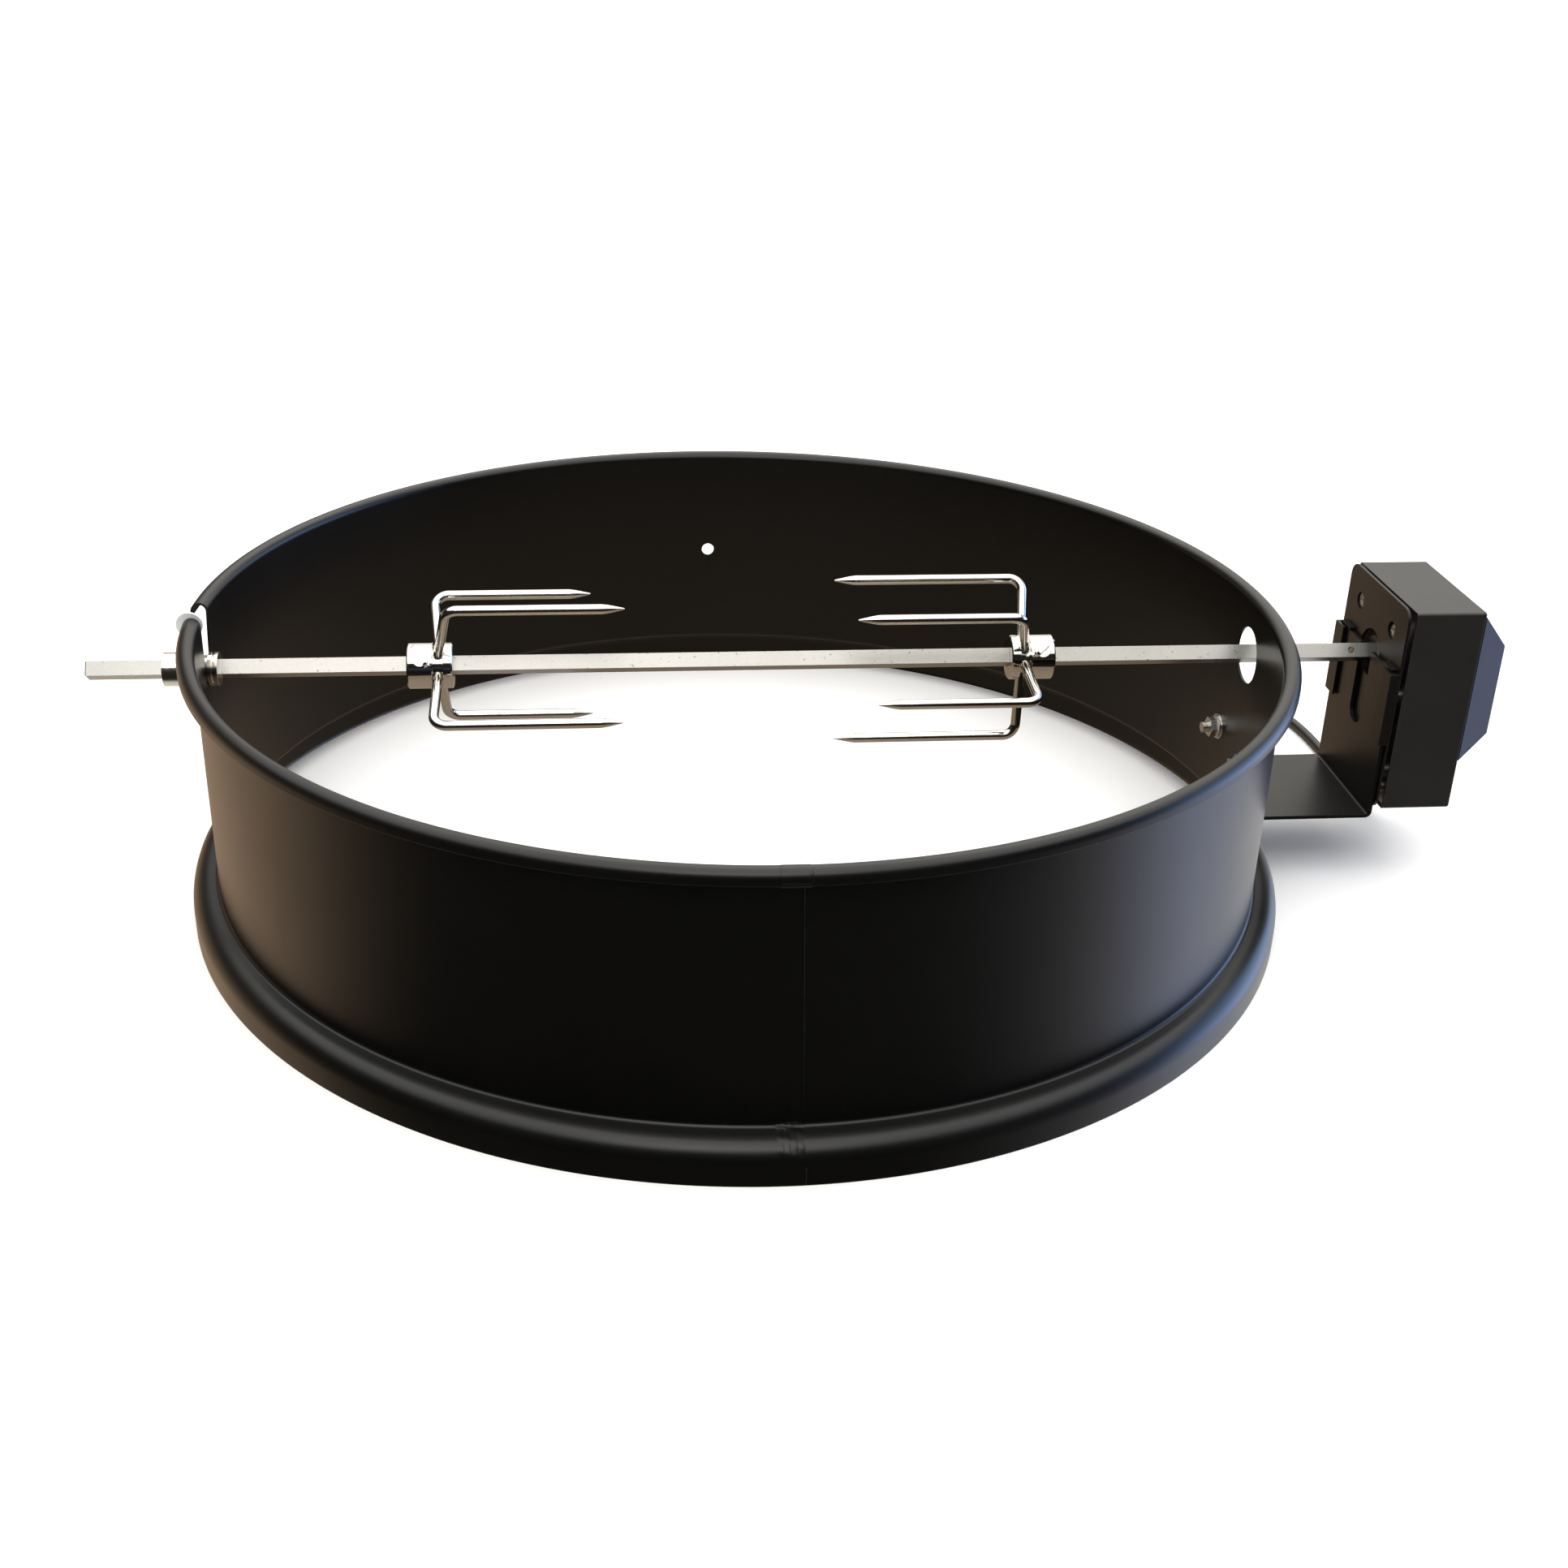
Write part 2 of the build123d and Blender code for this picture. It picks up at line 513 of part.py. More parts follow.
first_pinion = toothed_wheel(PINION_TEETH, MODULES[1], 1.0, first_pinion_phase, 360.4, 365.7)
first_wheel = toothed_wheel(WHEEL_TEETH, MODULES[2], WHEEL_ADDENDUM, first_phase, 365.5, 368.0)
keep("first_gear", double_gear(FIRST_AXLE, first_pinion, first_wheel))


# ---- synchronous motor ----
def motor_can():
    can = rod(CAN_RADIUS, CAN_START, CAN_FINISH)
    ear = CAN_SCREW_SPREAD + 3.6
    can += block(CAN_START, CAN_START + CAN_WALL, -ear, ear, -4, 4)
    can -= rod(CAN_RADIUS - CAN_WALL, CAN_START + CAN_WALL, CAN_FINISH - CAN_WALL)
    can -= rod(PIN_RADIUS + RUN_GAP, CAN_START - 1, CAN_FINISH + 1)
    for side in SIDES:
        can -= Pos(0, side * CAN_SCREW_SPREAD, 0) * rod(SCREW_SHANK + 0.15, CAN_START - 1, CAN_START + 2)
    return can


MAGNET_RADIUS = 12.2
magnet = rod(MAGNET_RADIUS, CAN_START + 2.5, CAN_FINISH - 2.5) - rod(PIN_RADIUS, CAN_START, CAN_FINISH)
coil = rod(CAN_RADIUS - CAN_WALL - RUN_GAP, CAN_START + 1.5, CAN_FINISH - 1.5)
coil -= rod(MAGNET_RADIUS + 0.6, CAN_START, CAN_FINISH)
rotor_pinion = toothed_wheel(PINION_TEETH, MODULES[2], 1.0, rotor_phase, 364.8, 368.6)
rotor_pinion += rod(PIN_RADIUS, 364.4, CAN_FINISH - 0.3)
can_screw = Rot(Z=180) * pan_screw(-(CAN_START + CAN_WALL), 2.3, head_radius=2.8)
can_screws = [Pos(0, side * CAN_SCREW_SPREAD, 0) * can_screw for side in SIDES]
keep("motor_can", at_axle(ROTOR_AXLE, motor_can()))
keep("stator_coil", at_axle(ROTOR_AXLE, coil))
keep("rotor_magnet", at_axle(ROTOR_AXLE, magnet))
keep("rotor_pinion", at_axle(ROTOR_AXLE, rotor_pinion))
keep("can_screws", *[at_axle(ROTOR_AXLE, screw) for screw in can_screws])


# ---- switch and wiring ----
def switch_box(half_x, half_z, y_start, y_end):
    """A block round the switch's middle, from y_start to y_end past the housing's side."""
    side = MOTOR_HALF_WIDTH
    return block(SWITCH_X - half_x, SWITCH_X + half_x, side + y_start, side + y_end,
                 SWITCH_HEIGHT - half_z, SWITCH_HEIGHT + half_z)


def switch_body():
    half_x, half_z = SWITCH_HALF
    body = switch_box(half_x, half_z, -13, 0.05)
    body += switch_box(half_x + SWITCH_RIM - 0.1, half_z + SWITCH_RIM, 0.02, 1.6)
    body -= switch_box(half_x - 1.3, half_z - 1.2, -5, 2)
    for side in SIDES:
        body += Pos(0, 0, side * 5) * switch_box(0.4, 2.0, -19, -12.9)
    return body


def switch_rocker():
    """The rocker's side view, drawn across the switch and tilted to its on place."""
    outline = Polyline((-7.6, 0.6), (0, -0.5), (7.6, 0.6), (7.2, -1.6), (2.2, -3.6),
                       (-2.2, -3.6), (-7.2, -1.6), close=True)
    rocker = extrude(Plane.YZ * Rot(Z=-90) * make_face(outline), SWITCH_HALF[0] - 1.6, both=True)
    return Pos(SWITCH_X, MOTOR_HALF_WIDTH + 1.6, SWITCH_HEIGHT) * Rot(X=ROCKER_TILT) * rocker


def terminal_block():
    terminal = block(374, INNER_BACK, 22, 34, 82, 98)
    for height in (86, 94):
        terminal -= Pos(378, 0, height) * rod(1.6, 20, 30, "Y")
    return terminal


keep("switch_body", switch_body())
keep("switch_rocker", switch_rocker())
keep("terminal_block", terminal_block())


# ---- mains cord, its strain relief, put-away coil and plug ----
def cord_relief():
    """A moulded sleeve clipped through the floor, with a taper down to the cord."""
    collar = MOTOR_BOTTOM - 1.8
    relief = rod(5.1, MOTOR_BOTTOM, INNER_LOW, "Z") + rod(6.6, INNER_LOW, INNER_LOW + 2, "Z")
    relief += rod(6.8, collar, MOTOR_BOTTOM, "Z") + rod(3.6, INNER_LOW + 2, RELIEF_TOP, "Z")
    relief += Pos(0, 0, RELIEF_END) * taper(4.0, 5.2, collar - RELIEF_END)
    return Pos(CORD_X, CORD_Y, 0) * relief


def cord_tube(route):
    """The free cord: straight runs joined by tangent arcs as large as the runs allow."""
    radii = []
    for a, b, c in zip(route, route[1:], route[2:]):
        before = Vector(*b) - Vector(*a)
        after = Vector(*c) - Vector(*b)
        turn = radians(before.get_angle(after))
        radii.append(0.45 * min(before.length, after.length) / tan(turn / 2))
    path = FilletPolyline(*route, radius=radii)
    tube = sweep(Plane(origin=path @ 0, z_dir=path % 0) * Circle(CORD_RADIUS), path)
    print("cord radii", [round(r, 1) for r in radii], "least", round(min(radii), 1))
    print("cord volume ratio", round(tube.volume / (pi * CORD_RADIUS ** 2 * path.length), 4))
    print("cord length", round(path.length), "mm")
    return tube


def cord_coil():
    """Five turns, three below and two above, as one ring with a filled middle."""
    pitch = 2 * CORD_RADIUS - TURN_OVERLAP
    turns = [(COIL_MIDDLE + k * pitch, COIL_LIFT) for k in (-1, 0, 1)]
    turns += [(COIL_MIDDLE + k * pitch / 2, COIL_LIFT + UPPER_TURNS) for k in (-1, 1)]
    section = Sketch() + [Pos(r, z) * Circle(CORD_RADIUS) for r, z in turns]
    section += Pos(COIL_MIDDLE, COIL_LIFT + 1.6) * Rectangle(2 * pitch - 1.5, 4.2)
    print("coil length", round(2 * pi * sum(r for r, z in turns)), "mm")
    return revolve(Plane.XZ * section, Axis.Z)


def cord_tie():
    """A strap round the coil's section, just clear of the cord."""
    low = COIL_LIFT - CORD_RADIUS - 0.9
    high = COIL_LIFT + UPPER_TURNS + CORD_RADIUS + 0.9
    reach = 3 * CORD_RADIUS + 0.9
    tie = block(COIL_MIDDLE - reach, COIL_MIDDLE + reach, -4, 4, low, high)
    hole = reach - TIE_SHEET
    return tie - block(COIL_MIDDLE - hole, COIL_MIDDLE + hole, -5, 5, low + TIE_SHEET, high - TIE_SHEET)


keep("cord_relief", cord_relief())
keep("power_cord", cord_tube(CORD_ROUTE))
keep("cord_coil", Pos(*COIL_CENTRE, 0) * cord_coil())
keep("cord_tie", Pos(*COIL_CENTRE, 0) * cord_tie())

plug_x = COIL_CENTRE[0] - COIL_MIDDLE - 2 * CORD_RADIUS + TURN_OVERLAP
neck_y = COIL_CENTRE[1] + 34
plug_y = neck_y + 13
blade_y = plug_y + PLUG_LENGTH
plug_floor = COIL_LIFT - 4.0
neck = Pos(plug_x, neck_y, COIL_LIFT + 2) * Rot(X=-90) * taper(5.1, 6.0, 14)
plug = block(plug_x - PLUG_HALF, plug_x + PLUG_HALF, plug_y, blade_y, plug_floor, plug_floor + 17)
plug = fillet(plug.edges().filter_by(Axis.Y), 4.0)
blade = block(plug_x - 0.75, plug_x + 0.75, blade_y, blade_y + 16, plug_floor + 5.8, plug_floor + 12.1)
earth = Pos(plug_x, 0, plug_floor + 12.8) * rod(2.4, blade_y, blade_y + 18, "Y")
keep("plug_tail", Pos(plug_x, 0, COIL_LIFT) * rod(CORD_RADIUS, COIL_CENTRE[1] + 2, neck_y, "Y"))
keep("plug_body", neck + plug)
keep("plug_pins", *[Pos(side * 6.35, 0, 0) * blade for side in SIDES], earth)


# ---- spit and bushing ----
def spit_rod():
    bar = square_bar(SPIT_SIDE, SPIT_LEFT, SPIT_RIGHT)
    middle = (SPIT_LEFT + SPIT_RIGHT) / 2
    end_edges = [e for e in bar.edges() if abs(e.center().X - middle) > middle - SPIT_LEFT - 0.01]
    bar = chamfer(end_edges, 0.6)
    cross_hole = Rot(X=90 - SPIT_TURN) * Pos(333, 0, 0) * Cylinder(1.8, 20)
    return bar - cross_hole


def grub_place():
    """On the collar, out through the bar's face that looks back and down."""
    return Pos(-WALL_OUTER - NECK_PLAY - COLLAR_LENGTH + 6.2, 0, 0) * Rot(X=270 - SPIT_TURN)


def spit_bushing():
    """A turned collar, a neck that rests in the ring's notch and two thin flanges."""
    collar_end = -WALL_OUTER - NECK_PLAY
    flange = collar_end + NECK_LENGTH
    second = flange + 3.1
    bushing = rod(COLLAR_RADIUS, collar_end - COLLAR_LENGTH, collar_end)
    bushing += rod(NECK_RADIUS, collar_end, flange + 1)
    bushing += rod(COLLAR_RADIUS, flange, flange + THIN_FLANGE)
    bushing += rod(NECK_RADIUS + 0.4, flange + THIN_FLANGE, second)
    bushing += rod(COLLAR_RADIUS, second, second + THIN_FLANGE)
    bushing -= square_bar(SPIT_SIDE + 2 * RUN_GAP, collar_end - COLLAR_LENGTH - 1, second + 5)
    return bushing - grub_place() * rod(GRUB_RADIUS + 0.1, 0, 12, "Z")


grub_screw = rod(GRUB_RADIUS, SPIT_SIDE / 2 + 0.02, COLLAR_RADIUS - 0.4, "Z") - rod(1.1, 6.5, 12, "Z")
keep("spit_rod", on_spit(spit_rod()))
keep("spit_bushing", on_spit(spit_bushing()))
keep("bushing_grub_screw", on_spit(grub_place() * grub_screw))


# ---- forks ----
def fork_hub(end, inward):
    """A turned hub: long collar at the outer end, groove for the wires, thin inner flange."""
    groove = end + inward * HUB_COLLAR
    flange = groove + inward * HUB_GROOVE
    nose = flange + inward * HUB_FLANGE
    hub = rod(HUB_RADIUS, min(end, groove), max(end, groove))
    hub += rod(HUB_CORE_RADIUS, min(end, nose), max(end, nose))
    hub += rod(HUB_RADIUS, min(flange, nose), max(flange, nose))
    rims = hub.edges().filter_by(GeomType.CIRCLE).filter_by(lambda e: e.radius > HUB_RADIUS - 0.1)
    rims = rims.sort_by(Axis.X)
    hub = chamfer([rims[0], rims[-1]], 0.7)
    return hub - square_bar(SPIT_SIDE + 2 * SLIDE_GAP, min(end, nose) - 1, max(end, nose) + 1)


TINE_ROOT = HUB_CORE_RADIUS - 1.5      # the wire starts inside the hub's core


def tine(groove_x, angle, bend_x, tip_x):
    """One wire: out of the hub, round a bend and along the spit to a ground point."""
    inward = 1 if tip_x > groove_x else -1
    shank_end = tip_x - inward * TINE_POINT
    bend = (bend_x, 0, TINE_REACH)
    path = FilletPolyline((groove_x, 0, TINE_ROOT), bend, (shank_end, 0, TINE_REACH), radius=TINE_BEND)
    wire = sweep(Plane(origin=path @ 0, z_dir=path % 0) * Circle(WIRE_RADIUS), path)
    wire += Pos(shank_end, 0, TINE_REACH) * Rot(Y=90 * inward) * taper(WIRE_RADIUS, 0.4, TINE_POINT)
    return Rot(X=-angle) * wire


def tine_pocket(groove_x, angle, bend_x):
    """The drilled seat of one wire in the hub."""
    lean = degrees(atan2(bend_x - groove_x, TINE_REACH - TINE_ROOT))
    drill = Rot(Y=lean) * rod(WIRE_RADIUS + 0.02, 0, 30, "Z")
    return Rot(X=-angle) * Pos(groove_x, 0, TINE_ROOT) * drill


def thumb_place(x):
    """Out through the broad face of the bar that looks forward and up."""
    return Pos(x, 0, 0) * Rot(X=90 - SPIT_TURN)


def thumb_screw(x, tab_turn):
    tip = SPIT_SIDE / 2 + 0.3
    seat = HUB_RADIUS + 0.4
    shaft = rod(THUMB_RADIUS, tip, seat + 0.2, "Z") + rod(THUMB_RADIUS + 1.2, seat, seat + 1.6, "Z")
    half = THUMB_TAB_HALF
    tab = block(-half, half, -1.0, 1.0, seat + 1.2, THUMB_TAB_TOP)
    tab = fillet(tab.edges().filter_by(Axis.Y), 2.4)
    return on_spit(thumb_place(x) * Rot(Z=tab_turn) * (shaft + tab))


# each fork: outer end, inward direction, thumb place and turn, and its hand-bent tines
# as (lean from straight up towards the back, bend place, tip place)
FORKS = {
    "left": (LEFT_HUB_END, 1, -167.2, -56.0,
             [(57, -162, -79), (-30, -152, -62), (-110, -160, -64), (150, -157, -79)]),
    "right": (RIGHT_HUB_END, -1, 159.6, 41.5,
              [(42, 155, 52), (-41, 143, 57), (-99, 152, 67.5), (-176, 150, 50.5)]),
}
for side, (end, inward, thumb_x, tab_turn, tines) in FORKS.items():
    groove_x = end + inward * (HUB_COLLAR + HUB_GROOVE / 2)
    hub = fork_hub(end, inward)
    for angle, bend_x, tip_x in tines:
        hub -= tine_pocket(groove_x, angle, bend_x)
    hub -= thumb_place(thumb_x) * rod(THUMB_RADIUS + RUN_GAP, 0, 30, "Z")
    keep(f"{side}_fork_hub", on_spit(hub))
    keep(f"{side}_fork_tines", *[on_spit(tine(groove_x, *shape)) for shape in tines])
    keep(f"{side}_thumb_screw", thumb_screw(thumb_x, tab_turn))

for name, shape in NODES.items():
    export_step(shape, f"parts/{name}.step")
    solids = shape.solids()
    valid = all(s.is_valid for s in solids)
    box = shape.bounding_box()
    size = [round(v, 1) for v in (*box.min, *box.max)]
    print(f"{name:22s} {len(solids)} solids {sum(s.volume for s in solids):11.1f} mm3 valid {valid}", size)
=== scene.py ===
import bpy
import math
from mathutils import Matrix, Vector


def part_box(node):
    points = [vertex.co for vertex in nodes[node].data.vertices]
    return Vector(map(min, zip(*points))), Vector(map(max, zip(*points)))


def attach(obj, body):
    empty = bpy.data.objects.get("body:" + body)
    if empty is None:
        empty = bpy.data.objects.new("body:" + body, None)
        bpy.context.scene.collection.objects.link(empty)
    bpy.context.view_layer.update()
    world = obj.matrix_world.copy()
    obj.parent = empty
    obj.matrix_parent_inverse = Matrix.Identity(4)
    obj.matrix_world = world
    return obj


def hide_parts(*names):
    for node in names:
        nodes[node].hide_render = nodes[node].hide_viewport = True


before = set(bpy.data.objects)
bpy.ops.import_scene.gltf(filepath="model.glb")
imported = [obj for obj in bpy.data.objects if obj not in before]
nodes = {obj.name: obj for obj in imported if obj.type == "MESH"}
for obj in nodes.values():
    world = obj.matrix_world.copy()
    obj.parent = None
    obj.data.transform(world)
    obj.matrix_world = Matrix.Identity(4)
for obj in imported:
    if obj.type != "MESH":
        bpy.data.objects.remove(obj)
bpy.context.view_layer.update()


# ---- Ring ----
# The ring is one strip of 1.2 mm steel, rolled to a section with a flared skirt, a shoulder, a
# straight wall and a bead turned outwards at the top. Its ends are butt-welded at the front, and
# it is powder-coated satin black after the notch and the holes are punched.
ring_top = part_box("ring_shell")[1].z
skirt_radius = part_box("ring_shell")[1].y
sheet = 0.0012
wall_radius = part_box("bracket_washers")[1].x + 0.0002
bead_radius = 0.0045
skirt_height = 0.0194
shoulder_rise = 0.0016
spit_height = (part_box("spit_rod")[0].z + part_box("spit_rod")[1].z) / 2
notch_half = 0.0075
drive_hole = 0.0155
probe_hole = 0.004
probe_height = 0.082
bolt_height = (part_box("bracket_bolts")[0].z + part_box("bracket_bolts")[1].z) / 2
bolt_angle = math.radians(5.2)
bolt_hole = 0.00325
notch_depth = 0.08
notch_lean = 0.2
punch_length = 0.04
lap = 0.0001


def put(tree, kind, inputs=None, **settings):
    """Adds a node; an input is set to a value or joined to another node's output."""
    node = tree.nodes.new(kind)
    for label, value in settings.items():
        setattr(node, label, value)
    for label, value in (inputs or {}).items():
        if isinstance(value, bpy.types.NodeSocket):
            tree.links.new(value, node.inputs[label])
        else:
            node.inputs[label].default_value = value
    return node


def new_group(name, kind, inputs, outputs):
    """An empty node group with named sockets; returns it with its inner ends."""
    tree = bpy.data.node_groups.new(name, kind)
    for label, socket, value in inputs:
        item = tree.interface.new_socket(label, in_out="INPUT", socket_type=socket)
        if value is not None:
            item.default_value = value
    for label, socket in outputs:
        tree.interface.new_socket(label, in_out="OUTPUT", socket_type=socket)
    return tree, tree.nodes.new("NodeGroupInput").outputs, tree.nodes.new("NodeGroupOutput").inputs


def stand(name, data):
    """Puts a new object with this mesh, curve, lamp or camera into the scene."""
    thing = bpy.data.objects.new(name, data)
    bpy.context.scene.collection.objects.link(thing)
    return thing


def edge_wear_group():
    """Where a sharp edge has lost its finish, and a normal that rounds that edge."""
    tree, given, out = new_group(
        "edge wear", "ShaderNodeTree",
        [("Radius", "NodeSocketFloat", 0.0006), ("Amount", "NodeSocketFloat", 2.0),
         ("Scale", "NodeSocketFloat", 300.0)],
        [("Mask", "NodeSocketFloat"), ("Normal", "NodeSocketVector")])
    rounded_edge = put(tree, "ShaderNodeBevel", {"Radius": given["Radius"]}, samples=4)
    surface = put(tree, "ShaderNodeNewGeometry")
    facing = put(tree, "ShaderNodeVectorMath", {0: rounded_edge.outputs["Normal"],
                                                1: surface.outputs["Normal"]}, operation="DOT_PRODUCT")
    turned = put(tree, "ShaderNodeMath", {0: 1.0, 1: facing.outputs["Value"]}, operation="SUBTRACT")
    scaled = put(tree, "ShaderNodeMath", {0: turned.outputs[0], 1: given["Amount"]}, operation="MULTIPLY")
    place = put(tree, "ShaderNodeTexCoord")
    chips = put(tree, "ShaderNodeTexNoise", {"Vector": place.outputs["Object"], "Scale": given["Scale"],
                                             "Detail": 3.0})
    broken = put(tree, "ShaderNodeMath", {0: scaled.outputs[0], 1: chips.outputs["Fac"]},
                 operation="MULTIPLY", use_clamp=True)
    tree.links.new(broken.outputs[0], out["Mask"])
    tree.links.new(rounded_edge.outputs["Normal"], out["Normal"])
    return tree


def grain_group():
    """The fine orange peel of a baked or moulded surface, and a broad unevenness of its tone."""
    tree, given, out = new_group(
        "surface grain", "ShaderNodeTree",
        [("Fine scale", "NodeSocketFloat", 900.0), ("Broad scale", "NodeSocketFloat", 9.0),
         ("Fine share", "NodeSocketFloat", 0.25)],
        [("Height", "NodeSocketFloat"), ("Tone", "NodeSocketFloat")])
    place = put(tree, "ShaderNodeTexCoord")
    fine = put(tree, "ShaderNodeTexNoise", {"Vector": place.outputs["Object"], "Scale": given["Fine scale"],
                                            "Detail": 2.0})
    broad = put(tree, "ShaderNodeTexNoise", {"Vector": place.outputs["Object"], "Scale": given["Broad scale"],
                                             "Detail": 4.0, "Roughness": 0.55})
    tone = put(tree, "ShaderNodeMix", {0: given["Fine share"], 2: broad.outputs["Fac"],
                                       3: fine.outputs["Fac"]})
    tree.links.new(fine.outputs["Fac"], out["Height"])
    tree.links.new(tone.outputs[0], out["Tone"])
    return tree


edge_wear = edge_wear_group()
surface_grain = grain_group()


def place_group(tree, group, **values):
    """Puts a shared group into a material with that material's own values."""
    node = put(tree, "ShaderNodeGroup", node_tree=group)
    for label, value in values.items():
        node.inputs[label.replace("_", " ")].default_value = value
    return node


def finish(name, colour, worn, roughness, metal=0.0, edge=0.0006, wear=2.0, fine=900.0, broad=9.0,
           peel=0.00002, **constants):
    """A painted, plated or moulded finish: tone and gloss vary, and its edges are rounded and worn."""
    material = bpy.data.materials.new(name)
    material.use_nodes = True
    tree = material.node_tree
    shader = tree.nodes["Principled BSDF"]
    wear_mask = place_group(tree, edge_wear, Radius=edge, Amount=wear)
    grain = place_group(tree, surface_grain, Fine_scale=fine, Broad_scale=broad)
    shade = put(tree, "ShaderNodeMapRange", {"Value": grain.outputs["Tone"], "From Min": 0.3, "From Max": 0.7,
                                             "To Min": 0.82, "To Max": 1.18})
    toned = put(tree, "ShaderNodeMix", {0: 1.0, 6: (*colour, 1.0), 7: shade.outputs["Result"]},
                data_type="RGBA", blend_type="MULTIPLY")
    mixed = put(tree, "ShaderNodeMix", {0: wear_mask.outputs["Mask"], 6: toned.outputs[2], 7: (*worn, 1.0)},
                data_type="RGBA")
    gloss = put(tree, "ShaderNodeMapRange", {"Value": grain.outputs["Tone"], "From Min": 0.3, "From Max": 0.7,
                                             "To Min": roughness * 0.88, "To Max": roughness * 1.12})
    bump = put(tree, "ShaderNodeBump", {"Height": grain.outputs["Height"], "Distance": peel,
                                        "Normal": wear_mask.outputs["Normal"]})
    tree.links.new(mixed.outputs[2], shader.inputs["Base Color"])
    tree.links.new(gloss.outputs["Result"], shader.inputs["Roughness"])
    tree.links.new(bump.outputs["Normal"], shader.inputs["Normal"])
    shader.inputs["Metallic"].default_value = metal
    for label, value in constants.items():
        shader.inputs[label.replace("_", " ")].default_value = value
    return material


def coat(node, material):
    """Gives a frame part its finish."""
    part = nodes[node]
    part.data.materials.clear()
    part.data.materials.append(material)


ring_coat = finish("ring coat", (0.0022, 0.002, 0.0018), (0.008, 0.0075, 0.007), 0.34, wear=0.8, fine=1400.0,
                   peel=0.000012, Specular_IOR_Level=0.35)


def rounded_path(corners, radii, steps=6):
    """A line through corners in a plane, each inner corner turned into an arc of its radius."""
    path = [Vector(corners[0])]
    for before, corner, after, radius in zip(corners, corners[1:], corners[2:], radii):
        corner = Vector(corner)
        to_before = (Vector(before) - corner).normalized()
        to_after = (Vector(after) - corner).normalized()
        half = to_before.angle(to_after) / 2
        centre = corner + (to_before + to_after).normalized() * radius / math.sin(half)
        start = corner + to_before * radius / math.tan(half) - centre
        end = corner + to_after * radius / math.tan(half) - centre
        sweep = start.angle_signed(end)
        for step in range(steps + 1):
            turn = Matrix.Rotation(-sweep * step / steps, 2)
            path.append(centre + turn @ start)
    return path + [Vector(corners[-1])]


def wire_object(name, places, closed=False):
    """A mesh of edges through the places, for a Geometry Nodes tree to build on."""
    mesh = bpy.data.meshes.new(name)
    edges = [(k, k + 1) for k in range(len(places) - 1)]
    if closed:
        edges.append((len(places) - 1, 0))
    mesh.from_pydata([tuple(place) for place in places], edges, [])
    return stand(name, mesh)


def painted_mesh(name, corners, faces, material):
    """A mesh of faces with one finish."""
    mesh = bpy.data.meshes.new(name)
    mesh.from_pydata(corners, [], faces)
    mesh.materials.append(material)
    return mesh


def build(piece, tree, smooth_angle=30, **values):
    """Runs a tree on a piece with its sizes set, and leaves the result as a plain mesh."""
    modifier = piece.modifiers.new("build", "NODES")
    modifier.node_group = tree
    for item in tree.interface.items_tree:
        label = item.name.replace(" ", "_")
        if item.item_type == "SOCKET" and item.in_out == "INPUT" and label in values:
            modifier[item.identifier] = values[label]
    bpy.context.view_layer.update()
    evaluated = piece.evaluated_get(bpy.context.evaluated_depsgraph_get())
    mesh = bpy.data.meshes.new_from_object(evaluated)
    piece.modifiers.clear()
    piece.data = mesh
    mesh.name = piece.name
    mesh.set_sharp_from_angle(angle=math.radians(smooth_angle))
    return piece


def close_tree(tree, geometry, given, out, smooth=True):
    """Ends a tree: smooth shading, then plain geometry that carries the piece's finish."""
    if smooth:
        geometry = put(tree, "GeometryNodeSetShadeSmooth", {"Geometry": geometry}).outputs["Geometry"]
    whole = put(tree, "GeometryNodeRealizeInstances", {"Geometry": geometry})
    painted = put(tree, "GeometryNodeSetMaterial", {"Geometry": whole.outputs["Geometry"],
                                                    "Material": given["Material"]})
    tree.links.new(painted.outputs["Geometry"], out["Geometry"])
    return tree


def turned_tree():
    """A closed section carried round the Z axis at a radius."""
    tree, given, out = new_group(
        "turned section", "GeometryNodeTree",
        [("Geometry", "NodeSocketGeometry", None), ("Radius", "NodeSocketFloat", 0.1),
         ("Steps", "NodeSocketInt", 96), ("Place", "NodeSocketVector", None),
         ("Material", "NodeSocketMaterial", None)],
        [("Geometry", "NodeSocketGeometry")])
    tree.is_modifier = True
    section = put(tree, "GeometryNodeMeshToCurve", {"Mesh": given["Geometry"]})
    circle = put(tree, "GeometryNodeCurvePrimitiveCircle", {"Resolution": given["Steps"],
                                                            "Radius": given["Radius"]})
    level = put(tree, "GeometryNodeSetCurveNormal", {"Curve": circle.outputs["Curve"]}, mode="Z_UP")
    turned = put(tree, "GeometryNodeCurveToMesh", {"Curve": level.outputs[0],
                                                   "Profile Curve": section.outputs["Curve"]})
    placed = put(tree, "GeometryNodeTransform", {"Geometry": turned.outputs["Mesh"],
                                                 "Translation": given["Place"]})
    return close_tree(tree, placed.outputs["Geometry"], given, out)


